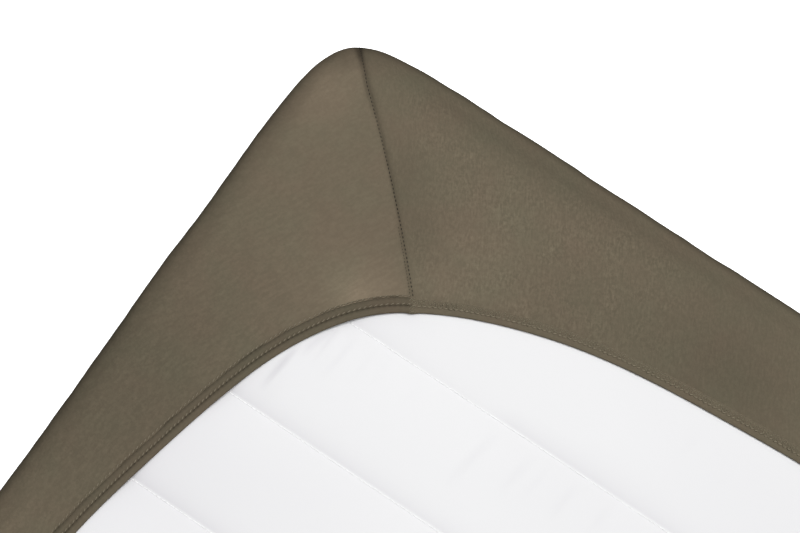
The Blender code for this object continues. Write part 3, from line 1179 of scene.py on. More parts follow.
def build_cover_stitches():
    """Short threads between the two rows, where the hem is the short side's; a wander is a
    share of one stitch."""
    middles, ways = [], []
    stitches = np.arange(hem_stitch_count)
    for number, (place, across, lean) in enumerate(COVER_THREADS):
        wander = 0.12 * np.sin(stitches * (2.3 + number)) + 0.1 * np.sin(stitches * 0.71 + number)
        steps = (stitches + place + wander) * STEPS_PER_STITCH
        keep = hem_side(steps) > 0.9
        steps = steps[keep]
        edge, out = hem_read(hem_line, steps), unit(hem_read(hem_out, steps))
        along = unit(hem_read(hem_tangent, steps))
        away = HEM_LOW_NARROW + (HEM_NARROW - HEM_LOW_NARROW) * (across - 1 + wander[keep] * 0.5)
        height = np.interp(across, COVER_HEIGHT_AT, COVER_HEIGHT) * MM
        middles.append(at_height(edge + out * away[:, None], flap_top + height))
        angle = math.radians(lean)
        ways.append(at_height(along * math.cos(angle) + out * math.sin(angle), 0.0))
    for place, way in locked_ends():
        middles.append(place)
        ways.append(way)
    middles, ways = np.concatenate(middles), np.concatenate(ways)
    ups = np.tile([0.0, 0.0, 1.0], (len(middles), 1))
    return stitch_mesh("hem_cover_stitches", middles, ways, ups, COVER_LENGTH, COVER_THREAD)


hem_cover_stitches = build_cover_stitches()

# %% [markdown]
# ## Stitches of the corner seams
#
# The pocket of each corner is closed by one seam, and its thread shows in the groove as dark
# short stitches.  A second, finer row locks the last 55 mm before the hem.  The stitches are
# laid on the column of the sheet that is the seam, so they follow all its relief.

# %% Stitches of the corner seams
SEAM_STITCH_LENGTH = 2.0 * MM    # what shows of a stitch; the rest sinks into the cloth
SEAM_THREAD = 0.31 * MM
SEAM_FIRST_ROW = 5               # the row of the sheet, on its lower edge, where it starts
SEAM_ROWS = (
    # length before the hem (None is the whole seam), from hole to hole, how far the row
    # lies towards the long side, rise over the cloth (all in mm), size of its stitches
    (None, 3.2, 0.35, 0.18, 1.0),
    (55, 2.4, 2.3, 0.22, 0.6),
)


def seam_column_of(corner_number):
    mine = np.where(columns["corner"] == corner_number)[0]
    return mine[np.argmin(np.abs(columns["side"][mine]))]


def seam_points(corner_number, first, pitch, aside, rise, size):
    """Stitches on the sheet, as one row of the table says: middles, ways, ups and sizes."""
    column = seam_column_of(corner_number)
    line = sheet_grid[column, SEAM_FIRST_ROW:OUTSIDE_COUNT]
    run = np.concatenate([[0.0], np.cumsum(np.linalg.norm(np.diff(line, axis=0), axis=1))])
    start = pitch * MM if first is None else run[-1] - first * MM
    where = np.arange(start, run[-1], pitch * MM)

    def read(values):
        return np.stack([np.interp(where, run, values[:, k]) for k in range(3)], axis=1)

    ways = unit(np.gradient(line, axis=0))
    beside = np.array([*(seam_across * -np.array(CORNERS[corner_number][:2])), 0.0])
    ups = unit(np.cross(np.tile(beside, (len(line), 1)), ways))
    outward = np.column_stack([np.tile(column_out[column], (len(line), 1)), np.ones(len(line))])
    ups *= np.sign(np.sum(ups * outward, axis=1))[:, None]
    middle, ways, ups = read(line), unit(read(ways)), unit(read(ups))
    middle = middle + ups * (rise * MM) - beside * (aside * MM)
    return middle, ways, ups, np.full(len(where), size)


def build_seam_stitches():
    parts = [seam_points(number, *row) for number in range(len(CORNERS)) for row in SEAM_ROWS]
    middles, ways, ups, size = (np.concatenate(p) for p in zip(*parts))
    length, radius = SEAM_STITCH_LENGTH * size, SEAM_THREAD * size
    return stitch_mesh("seam_stitches", middles, ways, ups, length, radius)


seam_stitches = build_seam_stitches()

# %% [markdown]
# ## The mattress
#
# The mattress is foam in a white knitted cover, and the cover is sewn down in straight
# lines across it.  A line holds the cover down, the foam pushes it up again between two
# lines, and the cover gathers a little along each line.  Close to a line the rows of the
# mesh must be fine, so the rows are spaced by a table that repeats with every line.

# %% Rows of the mattress
MATTRESS_EDGE = 31 * MM
CHANNEL_PITCH = 93.3 * MM
CHANNEL_FIRST = 199.2 * MM
CHANNEL_COUNT = 19
ROWS_ROUND_A_LINE = (
    -40, -28, -19, -12.5, -8, -5, -2.9, -2.0, -1.2, 0.0, 1.6, 6, 13, 22, 32, 43,
)
COLUMN_STEPS = (
    # spacing of the cover's columns in mm, and how far in from its side they reach
    (8.0, 70),
    (2.3, 165),
    (4.0, 400),
    (6.5, 500),
)
RING_COUNT = 6                   # rings over each rounded edge of its side
ROWS_AT_ENDS = 10, 6             # between the first or last line and the end of the flat top
mattress_half_x = mattress_high[0]
mattress_half_y = mattress_high[1]
line_places = half_y - CHANNEL_FIRST - CHANNEL_PITCH * np.arange(CHANNEL_COUNT)


def column_shares():
    """Places across the cover from -1 to 1, closest together where wrinkles can be seen."""
    places, start = [], SHEET_EDGE / MM
    for step, end in COLUMN_STEPS:
        places.append(np.linspace(start, end, int((end - start) / step), endpoint=False))
        start = end
    half = (start - np.concatenate(places)) / (start - SHEET_EDGE / MM)
    return np.concatenate([-half, [0.0], half[::-1]])


def mattress_row_places():
    """y of every row, from +y to -y, between the rounded edges."""
    places = [line - offset * MM for line in line_places for offset in ROWS_ROUND_A_LINE]
    end = mattress_half_y - MATTRESS_EDGE
    top = np.linspace(end, places[0], ROWS_AT_ENDS[0], endpoint=False)
    bottom = np.linspace(-end, places[-1], ROWS_AT_ENDS[1], endpoint=False)[::-1]
    return np.concatenate([top, places, bottom])


def mattress_outline(y):
    """(u, v) at which one row ends: that of the flat top, and that of the outline beyond."""
    v = mattress_half_y - abs(y)
    if v >= CORNER_REACH:
        return (SHEET_EDGE, v), (0.0, v)
    t = np.linspace(0.0, 1.0, 4001)
    here = float(np.interp(-max(v, SHEET_EDGE), -inner_curve(t)[:, 1], t))
    return inner_curve(here), outer_curve(here)


print("the cover has", len(mattress_row_places()), "rows of", len(column_shares()), "points")

# %% [markdown]
# ## The quilted top
#
# Between two quilting lines the foam makes a low, wide puff.  The cover reaches a line
# steeply on one side and gently on the other, because the machine pushes the slack ahead of
# it.  Where the sheet pulls it, the cover also wrinkles.  A cloth simulation would put the
# wrinkles where it likes, so they are given as a table.

# %% Height of the quilted top
LINE_DEPTH = 1.7 * MM
LINE_DEEPER = 1.3                # lines are deeper by this share up to 0.1 m from long sides
DEEPER_FROM, DEEPER_OVER = 0.1, 0.12                 # and less beyond it (metres)
LINE_ENDS, LINE_FADES = 45 * MM, 30 * MM             # they fade out before the long sides
LINE_STEEP = 6.0 * MM            # the cover dives to a line this quickly on its +y side
LINE_STEEP_SHARE = 0.45
GATHER_HEIGHT, GATHER_REACH = 0.10 * MM, 9 * MM      # small gathers along each line
WRINKLES = (
    # corner, start u, start v, end u, end v, half width towards the long side and away from
    # it, height (all in mm)
    (1, 122, 276, 127, 233, 2.8, 9.0, 1.5),
    (1, 131, 242, 142, 206, 3.0, 7.0, 0.8),
    (1, 143, 237, 144, 206, 2.6, 5.0, 0.9),
    (1, 156, 246, 159, 206, 5.0, 6.0, 0.5),
    (1, 174, 240, 178, 206, 4.0, 4.0, 0.25),
    (1, 191, 228, 187, 204, 3.5, 3.5, 0.25),
    (1, 216, 230, 221, 205, 3.0, 4.0, 0.20),
    (1, 227, 224, 223, 206, 3.0, 3.0, 0.3),
    (1, 242, 230, 242, 207, 3.0, 3.5, 0.18),
    (1, 254, 232, 252, 210, 3.0, 3.0, 0.3),
    (1, 277, 260, 286, 206, 3.5, 5.0, 0.65),
    (1, 291, 240, 291, 210, 3.0, 3.0, 0.4),
    (1, 312, 244, 318, 206, 3.2, 4.5, 0.55),
    (1, 326, 242, 331, 206, 3.0, 4.0, 0.45),
    (1, 353, 240, 356, 205, 3.2, 4.0, 0.5),
    (1, 365, 222, 363, 203, 3.0, 3.0, 0.3),
    (1, 382, 232, 386, 204, 3.0, 4.0, 0.4),
    (1, 410, 126, 410, 150, 3.0, 4.0, 0.25),
    (1, 445, 134, 445, 158, 3.0, 3.0, 0.2),
    (0, 122, 280, 130, 230, 3.6, 8.0, 1.2),
    (0, 146, 242, 150, 206, 3.0, 6.0, 0.5),
    (0, 260, 246, 268, 207, 3.2, 4.0, 0.5),
    (2, 136, 216, 150, 162, 3.4, 8.0, 1.2),
    (2, 190, 186, 196, 134, 3.4, 4.5, 0.5),
    (3, 140, 212, 152, 166, 3.4, 8.0, 0.9),
    (3, 300, 196, 296, 134, 3.6, 4.5, 0.5),
)


def line_profile(away):
    """Depth at a signed distance from a line (+ is towards +y), 1 at the line itself."""
    puff = np.clip(1 - np.abs(away) / (CHANNEL_PITCH / 2), 0, 1) ** 2
    steep = np.exp(-np.abs(away) / LINE_STEEP)
    return np.where(away > 0, LINE_STEEP_SHARE * steep + (1 - LINE_STEEP_SHARE) * puff, puff)


def line_depth(x):
    """Deeper near the long sides, where the sheet's edge squeezes the foam up."""
    from_side = mattress_half_x - np.abs(x)
    beyond = np.maximum(from_side - DEEPER_FROM, 0)
    return LINE_DEPTH * (1 + LINE_DEEPER * np.exp(-beyond / DEEPER_OVER))


def wrinkle_height(x, y):
    total = np.zeros_like(x)
    for number, u0, v0, u1, v1, near, far, tall in WRINKLES:
        side_x, side_y = CORNERS[number][:2]
        rel_u = half_x - side_x * x - u0 * MM
        rel_v = half_y - side_y * y - v0 * MM
        run_u, run_v = (u1 - u0) * MM, (v1 - v0) * MM
        length = math.hypot(run_u, run_v)
        along = np.clip((rel_u * run_u + rel_v * run_v) / length**2, 0, 1)
        off = (rel_u * run_v - rel_v * run_u) / length * math.copysign(1, run_v)
        width = np.where(off < 0, near, far) * MM
        total += tall * MM * np.sin(np.pi * along) ** 0.8 * bell(off, width)
    return total


def quilt_height(x, y):
    """How far the cover lies under the top of its puffs, with gathers and wrinkles."""
    away = y - line_places[np.argmin(np.abs(y - line_places))]
    whole = ease(np.clip((mattress_half_x - LINE_ENDS - np.abs(x)) / LINE_FADES, 0, 1))
    height = -line_depth(x) * line_profile(away) * whole
    gather = np.sin(x / (3.1 * MM) + 2 * np.sin(x / (17 * MM))) * np.sin(x / (41 * MM) + 1.0)
    height += GATHER_HEIGHT * gather * math.exp(-abs(away) / GATHER_REACH) * whole
    return height + wrinkle_height(x, y)


print("a line is", round(float(line_depth(0.0)) / MM, 1), "mm deep in the middle of the mattress")

# %% [markdown]
# ## Shade in the folds of the cover
#
# White cloth has shades that relief of a millimetre hardly gives by itself: a line is greyer
# on one side, a wrinkle on the flank that looks to the long side, and broad patches are a
# little darker or paler.  The render would need a very fine mesh and many samples to find
# them.  So the shade is painted: every point of the cover gets a number that says how much
# darker it is, and the finish reads it.

# %% Shade in the folds of the cover
LINE_SHADE = 0.080
LINE_SHADE_REACH = 6.5 * MM
LINE_SHADE_FROM = 1.5 * MM       # the thread itself stays white
FIRST_LINE_X = (-0.42, -0.37, -0.31, -0.235, -0.215, 0.10, 0.50)     # metres
FIRST_LINE_SHADE = (0.085, 0.045, 0.015, 0.010, 0.080, 0.075, 0.08)  # weak where it's pulled open
FLANK_SHADE = 0.36               # for a slope of 1 on the flank that looks to the long side
HEM_SHADE = 0.05                 # beside the sheet's hem
HEM_SHADE_REACH = 20 * MM
# Broad patches that make the white darker; a share below 0 takes painted shade away.
GREY_PATCHES = (
    # corner, u, v, reach in u, reach in v (mm), share
    (1, 110, 375, 70, 70, 0.045),
    (1, 200, 330, 70, 55, 0.025),
    (1, 480, 150, 110, 60, 0.030),
    (1, 360, 215, 70, 50, 0.020),
    (1, 300, 165, 110, 26, -0.020),
    (1, 232, 212, 26, 12, -0.014),
    (1, 262, 218, 16, 18, -0.014),
    (0, 120, 350, 80, 90, 0.035),
    (2, 400, 220, 120, 90, 0.030),
    (3, 150, 300, 90, 90, 0.030),
)


def fold_shade(x, y):
    """How much darker the white is at the places of one row, as a share."""
    nearest = int(np.argmin(np.abs(y - line_places)))
    away = y - line_places[nearest]
    depth = np.interp(x, FIRST_LINE_X, FIRST_LINE_SHADE) if nearest == 0 else LINE_SHADE
    shade = depth * math.exp(-abs(away) / LINE_SHADE_REACH) * (away > LINE_SHADE_FROM) + 0 * x
    slope = -np.sign(x) * np.gradient(wrinkle_height(x, y), x)
    shade += FLANK_SHADE * np.clip(slope, 0, 1)
    for number, u0, v0, reach_u, reach_v, share in GREY_PATCHES:
        rel_u = (half_x - CORNERS[number][0] * x) / MM - u0
        rel_v = (half_y - CORNERS[number][1] * y) / MM - v0
        shade += share * np.exp(-((rel_u / reach_u) ** 2) - (rel_v / reach_v) ** 2)
    hem_at = np.interp(half_y - abs(y), *np.array(HEM_LONG_SIDE).T)
    from_hem = np.maximum(half_x - np.abs(x) - hem_at, 0)
    return shade + HEM_SHADE * np.exp(-from_hem / HEM_SHADE_REACH)


print("the darkest patch is", max(row[-1] for row in GREY_PATCHES), "; a line is", LINE_SHADE)

# %% [markdown]
# ## Make the cover
#
# The top is a grid.  Its border is a ring of points, and from there rings go over the upper
# edge, down the side and round the lower edge, where one face closes the mesh.  Most of this
# lies inside the sheet, so these rings are few.


# %% Make the mattress's cover
def mattress_top_grid():
    rows, rims = [], []
    shares = column_shares()
    for y in mattress_row_places():
        inner, outer = mattress_outline(y)
        x = (mattress_half_x - inner[0]) * shares
        z = np.full(len(x), mattress_top) + quilt_height(x, y)
        rows.append(np.column_stack([x, np.full(len(x), y), z]))
        rims.append((mattress_half_x - outer[0], math.copysign(mattress_half_y - outer[1], y)))
    return np.array(rows), np.array(rims)


def side_rings(rim, outer):
    """Rings from the rim of the flat top over the upper edge and down round the lower one."""
    over = np.linspace(0, math.pi / 2, RING_COUNT + 1)[1:]
    under = np.linspace(math.pi / 2, 0, RING_COUNT + 1)
    rings = []
    for level, way, angles in ((mattress_top, -1, over), (mattress_low[2], 1, under)):
        for angle in angles:
            xy = rim + (outer - rim) * math.sin(angle)
            z = level + way * MATTRESS_EDGE * (1 - math.cos(angle))
            rings.append(at_height(xy, z))
    return rings


def build_mattress_cover():
    grid, rims = mattress_top_grid()
    count_y, count_x = grid.shape[:2]
    index = np.arange(count_y * count_x).reshape(count_y, count_x)
    ring = np.concatenate([index[:-1, 0], index[-1, :-1], index[:0:-1, -1], index[0, :0:-1]])
    outer = np.zeros((len(ring), 2))
    for k, number in enumerate(ring):
        row, column = divmod(int(number), count_x)
        x, y = grid[row, column, :2]
        if row in (0, count_y - 1):
            outer[k] = (x, math.copysign(mattress_half_y, y))
        else:
            outer[k] = (math.copysign(rims[row, 0], x), rims[row, 1])
    flat_top = grid.reshape(-1, 3)
    points = [flat_top] + side_rings(flat_top[ring, :2], outer)
    top = grid_faces(count_y, count_x, False, False)
    first = len(points[0])
    faces = list(top[:, ::-1])
    above = ring
    for level in range(len(points) - 1):
        below = first + level * len(ring) + np.arange(len(ring))
        here, there = np.roll(above, -1), np.roll(below, -1)
        faces += list(np.stack([above, below, there, here], axis=1))
        above = below
    faces.append(above[::-1])
    points = np.concatenate(points)
    cover = mesh_object("mattress_cover", points, faces)
    shade = np.zeros(len(points))
    shade[:first] = np.concatenate([fold_shade(row[:, 0], row[0, 1]) for row in grid])
    print("mattress_cover", count_triangles(cover), "triangles")
    return cover, shade


mattress_cover, cover_shade = build_mattress_cover()

# %% [markdown]
# ## Stitches of the quilting
#
# White thread, a little thicker than the one in the sheet, holds each line down.  The
# stitches lie end to end, so a line looks almost drawn.

# %% Stitches of the quilting
QUILT_STITCH = 4.0 * MM          # from hole to hole
QUILT_LENGTH = 4.6 * MM          # neighbours overlap a little
QUILT_THREAD = 0.34 * MM
QUILT_RISE = 0.20 * MM
QUILT_ENDS = 48 * MM             # in from the long sides


def build_quilting_stitches():
    reach = mattress_half_x - QUILT_ENDS
    x = np.arange(-reach, reach, QUILT_STITCH)
    middles = []
    for y in line_places:
        z = mattress_top + quilt_height(x, y)
        middles.append(np.column_stack([x, np.full(len(x), y), z + QUILT_RISE]))
    middles = np.concatenate(middles)
    ways = np.tile([1.0, 0.0, 0.0], (len(middles), 1))
    ups = np.tile([0.0, 0.0, 1.0], (len(middles), 1))
    return stitch_mesh("quilting_stitches", middles, ways, ups, QUILT_LENGTH, QUILT_THREAD)


quilting_stitches = build_quilting_stitches()

# %% [markdown]
# ## Finishes
#
# A finish is a small graph of nodes.  Drawing it with the mouse is fine for one; in a script
# one function adds a node, sets it up, links its inputs and hands on its output.  Colours are
# picked as they look on a screen and turned to the linear values that the renderer needs.


# %% Colour and node helpers
def linear(hex_colour):
    channels = [int(hex_colour[i : i + 2], 16) / 255 for i in (1, 3, 5)]
    return [c / 12.92 if c <= 0.04045 else ((c + 0.055) / 1.055) ** 2.4 for c in channels] + [1.0]


def per_metre(size):
    """Scale of a noise whose spots have this size, as a whole number."""
    return float(round(1 / size))


def add_node(tree, kind, inputs, output=0, **settings):
    """Add a node; each input is a value or another node's output.  Returns one output."""
    node = tree.nodes.new(kind)
    for name, value in settings.items():
        setattr(node, name, value)
    for name, value in inputs.items():
        if isinstance(value, bpy.types.NodeSocket):
            tree.links.new(value, node.inputs[name])
        else:
            node.inputs[name].default_value = value
    return node.outputs[output]


def new_material(name, values):
    """A material, its tree and its shader, with constant values set on the shader's sockets."""
    material = bpy.data.materials.new(name)
    material.use_nodes = True
    shader = material.node_tree.nodes["Principled BSDF"]
    for socket, value in values.items():
        shader.inputs[socket].default_value = value
    return material, material.node_tree, shader


print("a screen's mid grey is", round(linear("#808080")[0], 3), "in linear light")

# %% [markdown]
# ## Taupe cotton, dyed in the piece and lightly brushed
#
# Dense cotton cloth has almost no shine: the loose fibres on its face scatter light every
# way.  The dye takes a little unevenly, so brown and olive patches drift into each other, and
# the yarns show as fine streaks where the cloth is pulled.  A photograph of cloth could be
# laid on, but its repeats would show; noise never repeats and can follow the pull.  Real
# yarns are 0.3 mm apart, far too fine for this picture, so the streaks are drawn a few times
# coarser.

# %% Taupe cotton, dyed in the piece and lightly brushed
COTTON_BROWN = linear("#6E6353")
COTTON_OLIVE = linear("#6B6453")
# Full painted shade leaves this much of the colour, in the seams, over the rims and in the hem.
PAINTED_SHADE_DARKEST = 0.42               # what is left of the light deep in a stitched groove
PATCH = 38.5 * MM                # from one patch of dye to the next
PANEL_OLIVE = 0.10               # the short side's panel is this much more olive
# Painted light and shade tint the colour too: painted paler is less olive, painted deeper more olive.
BROWNER = -1.2                   # cloth that is pulled thin is less olive
STREAK = 1.613 * MM              # about five times the 0.3 mm from yarn to yarn, so it shows
STREAK_LENGTH = 3.0              # a streak is this many times longer than it is wide
SPECK = 2.38 * MM                # loose fibres, also drawn coarser than they are
TUFT = 18.2 * MM                 # the nap stands in tufts, with calmer cloth between them
QUIET = 0.075                    # how much streaks and specks change the colour where it's smooth
ROUGH = 0.160                    # and where the nap is raised


def cotton_colour(tree, place, stretch_and_painted_light):
    """Brown and olive, mixed by slow patches, by the panel, and by pulled cloth and painted light."""
    panel = add_node(tree, "ShaderNodeAttribute", {}, "Fac", attribute_name="panel")
    patches = add_node(tree, "ShaderNodeTexNoise", {
        "Vector": place, "Scale": per_metre(PATCH), "Detail": 3.0, "Roughness": 0.55,
    })
    tint = add_node(tree, "ShaderNodeMapRange", {
        "Value": patches, "From Min": 0.28, "From Max": 0.72, "To Min": -0.15, "To Max": 0.85,
    })
    tint = add_node(tree, "ShaderNodeMath", {
        0: panel, 1: PANEL_OLIVE, 2: tint,
    }, operation="MULTIPLY_ADD")
    tint = add_node(tree, "ShaderNodeMath", {
        0: stretch_and_painted_light, 1: BROWNER, 2: tint,
    }, operation="MULTIPLY_ADD", use_clamp=True)
    return add_node(tree, "ShaderNodeMix", {
        "Factor": tint, 6: COTTON_BROWN, 7: COTTON_OLIVE,
    }, 2, data_type="RGBA")


def cotton_fibres(tree, place):
    """Fine streaks along the pull, with specks of loose fibre."""
    pull = add_node(tree, "ShaderNodeAttribute", {}, "Vector", attribute_name="pull")
    squeezed = add_node(tree, "ShaderNodeVectorMath", {
        0: pull, 1: (1 / STREAK_LENGTH, 1.0, 1.0),
    }, operation="MULTIPLY")
    streaks = add_node(tree, "ShaderNodeTexNoise", {
        "Vector": squeezed, "Scale": per_metre(STREAK), "Detail": 3.0, "Roughness": 0.65,
    })
    specks = add_node(tree, "ShaderNodeTexNoise", {
        "Vector": place, "Scale": per_metre(SPECK), "Detail": 3.0, "Roughness": 0.7,
    })
    return add_node(tree, "ShaderNodeMath", {0: streaks, 1: specks}, operation="ADD")


def cotton_mottle(tree, place, fine):
    """How much the fibres lighten or darken the colour; most where tufts of nap stand up."""
    nap = add_node(tree, "ShaderNodeAttribute", {}, "Fac", attribute_name="nap")
    tufts = add_node(tree, "ShaderNodeTexNoise", {
        "Vector": place, "Scale": per_metre(TUFT), "Detail": 2.0, "Roughness": 0.5,
    })
    tufts = add_node(tree, "ShaderNodeMapRange", {
        "Value": tufts, "From Min": 0.38, "From Max": 0.62, "To Min": 0.35, "To Max": 1.45,
    })
    raised = add_node(tree, "ShaderNodeMath", {0: nap, 1: tufts}, operation="MULTIPLY")
    amount = add_node(tree, "ShaderNodeMapRange", {
        "Value": raised, "To Min": QUIET, "To Max": ROUGH,
    }, clamp=False)
    mottle = add_node(tree, "ShaderNodeMapRange", {
        "Value": fine, "From Min": 0.85, "From Max": 1.35, "To Min": -0.60, "To Max": 1.60,
    })
    return add_node(tree, "ShaderNodeMath", {
        0: mottle, 1: amount, 2: 1.0,
    }, operation="MULTIPLY_ADD")


def taupe_cotton():
    material, tree, shader = new_material("taupe_cotton_brushed", {
        "Roughness": 0.92, "Specular IOR Level": 0.12,
    })
    # Painted light and shade, with the paleness of cloth pulled thin, read from the points.
    stretch_and_painted_light = add_node(tree, "ShaderNodeAttribute", {}, "Fac", attribute_name="stretch_and_painted_light")
    # Painted shade: in the seams' grooves and creases, over the sheet's rims and in the hem.
    groove = add_node(tree, "ShaderNodeAttribute", {}, "Fac", attribute_name="shade")
    place = add_node(tree, "ShaderNodeTexCoord", {}, "Object")
    base = cotton_colour(tree, place, stretch_and_painted_light)
    fine = cotton_fibres(tree, place)
    mottle = cotton_mottle(tree, place, fine)
    dark = add_node(tree, "ShaderNodeMapRange", {
        "Value": groove, "To Min": 1.0, "To Max": PAINTED_SHADE_DARKEST,
    })
    # Painted light and shade, and cloth pulled thin, make the colour paler or deeper here.
    pale = add_node(tree, "ShaderNodeMath", {0: stretch_and_painted_light, 1: 1.0}, operation="ADD")
    level = add_node(tree, "ShaderNodeMath", {0: mottle, 1: dark}, operation="MULTIPLY")
    level = add_node(tree, "ShaderNodeMath", {0: level, 1: pale}, operation="MULTIPLY")
    colour = add_node(tree, "ShaderNodeVectorMath", {0: base, "Scale": level}, operation="SCALE")
    bump = add_node(tree, "ShaderNodeBump", {
        "Strength": 0.5, "Distance": 0.35 * MM, "Height": fine,
    })
    tree.links.new(colour, shader.inputs["Base Color"])
    tree.links.new(bump, shader.inputs["Normal"])
    return material


cotton = taupe_cotton()
print(cotton.name, "has", len(cotton.node_tree.nodes), "nodes")

# %% [markdown]
# ## Polyester thread, spun and dyed to match
#
# Spun thread is a touch smoother than the cloth, and it stands in the light, so it looks a
# little paler; that paleness is painted into its colour.  The white thread is given a faint
# glow: painted light that keeps it brighter than the white around it and lightens its shaded
# side, as an optical whitener in white thread does a little.

# %% Polyester thread, spun and dyed to match
PAINTED_GLOW_COLOUR = linear("#F9FCFF")   # slightly blue


def sewing_thread(name, hex_colour, painted_glow=0.0):
    material, _, _ = new_material(name, {
        "Base Color": linear(hex_colour),
        "Roughness": 0.7,
        "Specular IOR Level": 0.35,
        "Emission Color": PAINTED_GLOW_COLOUR,
        "Emission Strength": painted_glow,
    })
    return material


# These threads are a little paler than the cloth: a painted highlight of thread that stands in the
# light.
matched_thread = sewing_thread("taupe_thread_spun", "#827865")
cover_thread = sewing_thread("olive_thread_spun", "#7B735F")
dark_thread = sewing_thread("dark_thread_spun", "#2C281F")
# The white thread's glow is painted light.
white_thread = sewing_thread("white_thread_spun", "#FCFCFC", painted_glow=0.06)
print("threads:", matched_thread.name, cover_thread.name, dark_thread.name, white_thread.name)

# %% [markdown]
# ## White ticking, knitted in polyester
#
# The mattress's cover is a bright, matt knit.  Its loops, under 1 mm, are too small to see
# from here; drawn twice as coarse, as a bump of noise, they only keep the white from being
# glassy.  Its colour slides to a cool grey by the shade that was given to its points.

# %% White ticking, knitted in polyester
LOOP = 2.0 * MM                  # a loop of the knit, drawn coarse
GREY_DARKER = 0.55               # the grey is about this much darker than the white


def white_ticking():
    material, tree, shader = new_material("white_ticking_knitted", {
        "Roughness": 0.8, "Specular IOR Level": 0.3,
    })
    place = add_node(tree, "ShaderNodeTexCoord", {}, "Object")
    loops = add_node(tree, "ShaderNodeTexNoise", {
        "Vector": place, "Scale": per_metre(LOOP), "Detail": 3.0, "Roughness": 0.6,
    })
    shade = add_node(tree, "ShaderNodeAttribute", {}, "Fac", attribute_name="shade")
    amount = add_node(tree, "ShaderNodeMath", {
        0: shade, 1: 1 / GREY_DARKER,
    }, operation="MULTIPLY", use_clamp=True)
    colour = add_node(tree, "ShaderNodeMix", {
        "Factor": amount, 6: linear("#F0F0F1"), 7: linear("#A6A0AE"),
    }, 2, data_type="RGBA")
    bump = add_node(tree, "ShaderNodeBump", {
        "Strength": 0.25, "Distance": 0.2 * MM, "Height": loops,
    })
    tree.links.new(colour, shader.inputs["Base Color"])
    tree.links.new(bump, shader.inputs["Normal"])
    return material


ticking = white_ticking()
print(ticking.name, "has", len(ticking.node_tree.nodes), "nodes")

# %% [markdown]
# ## Numbers on the points
#
# The finishes read numbers that every point of a mesh carries.  They could be painted with a
# brush; here they are worked out from the same tables as the shape, so that they sit exactly
# on it.  The first ones say which panel a point belongs to, and how much paler or deeper the
# cloth is painted, for cloth pulled thin and as painted light and shade.


# %% Numbers on the points
def set_on_points(thing, name, values, kind="FLOAT"):
    attribute = thing.data.attributes.new(name, kind, "POINT")
    word = "value" if kind == "FLOAT" else "vector"
    attribute.data.foreach_set(word, np.ravel(values).astype(np.float32))


row_count = sheet_grid.shape[1]
EDGE_TOP_ROW = LOWER_EDGE_ROWS + WALL_ROWS + EDGE_ROWS   # the flat flap begins here
cloth_points = sheet_grid.reshape(-1, 3)
cloth_corner = np.repeat(columns["corner"], row_count)
cloth_signs = np.repeat(column_corner[:, :2], row_count, axis=0)
cloth_uv = np.array([half_x, half_y]) - cloth_signs * cloth_points[:, :2]
cloth_panel = np.repeat((columns["side"] > 0).astype(float), row_count)
set_on_points(sheet_cloth, "panel", cloth_panel)
# Pale and deep patches of the cloth: painted light and shade, and cloth pulled thin.
set_on_points(sheet_cloth, "stretch_and_painted_light", stretch_and_painted_light_at(cloth_corner, cloth_uv))
set_on_points(mattress_cover, "shade", cover_shade)
print("the short sides' panels hold", round(cloth_panel.mean() * 100), "% of the cloth's points")

# %% [markdown]
# ## The way of the yarns
#
# Each panel is pulled its own way, so its streaks run at their own angle and change at the
# seam.  Every point gets its place along and across that pull.  Further along the long side
# the pull turns until it runs along the side.

# %% The way of the yarns
PULL_LONG_SIDE = (0.47, -0.88)   # in u and v
PULL_SHORT_SIDE = (-0.50, -0.87)
STREAK_TURN = 0.22
STREAK_TURN_AT, STREAK_TURN_OVER = 300 * MM, 100 * MM
LONG_SIDE_SCALE = 0.6            # the streaks of the long sides are softer
ACROSS_PER_HEIGHT = 0.7          # height counts as across, where the cloth goes over the edge
SLOW_DRIFT = (0.02, 0.03, 0.0)   # the third number of the noise drifts along x and y
PANEL_APART = 0.4                # and steps from panel to panel


def pull_places(uv, panel, places):
    """Coordinates for the fine streaks: along the pull, across it, and slowly round."""
    ways = np.where(panel[:, None] > 0.5, PULL_SHORT_SIDE, PULL_LONG_SIDE)
    along = np.sum(uv * ways, axis=1)
    across = uv[:, 0] * ways[:, 1] - uv[:, 1] * ways[:, 0]
    across += ACROSS_PER_HEIGHT * places[:, 2]
    past = uv[:, 1] - STREAK_TURN_AT
    across += (panel < 0.5) * STREAK_TURN * (past + np.hypot(past, STREAK_TURN_OVER))
    slowly = places @ np.array(SLOW_DRIFT) + PANEL_APART * panel
    scale = np.where(panel > 0.5, 1.0, LONG_SIDE_SCALE)
    return np.column_stack([along * scale, across * scale, slowly])


cloth_pull = pull_places(cloth_uv, cloth_panel, cloth_points)
set_on_points(sheet_cloth, "pull", cloth_pull, "FLOAT_VECTOR")
long_side_angle = math.degrees(math.atan2(PULL_LONG_SIDE[0], -PULL_LONG_SIDE[1]))
print("the streaks lie", round(long_side_angle), "degrees off the long side")

# %% [markdown]
# ## Shade in the seams
#
# Little light reaches the bottom of a seam.  A groove deep enough to be dark by itself would
# need many more points, so its shade is given too: dark at the edge of the mattress, where
# the seam is pulled deepest, and fading towards the hem.

# %% Shade in the seams
SEAM_SHADE_AT = (0.0, 0.15, 0.4, 0.7, 0.9, 1.0)      # share of the way to the hem
SEAM_SHADE = (0.48, 0.30, 0.22, 0.12, 0.04, 0.02)
BESIDE_SHADE_AT = (0.0, 0.15, 0.32, 0.5, 0.7)        # the same, for its short side's flank
BESIDE_SHADE = (0.04, 0.12, 0.17, 0.05, 0.0)
CREASE_AT = (0.0, 0.2, 0.5, 1.0)                     # share of the way down over the edge
CREASE_DEPTH = (0.38, 0.36, 0.92, 0.92)
FLANK_DEPTH = 0.10               # on the long side, near the hem


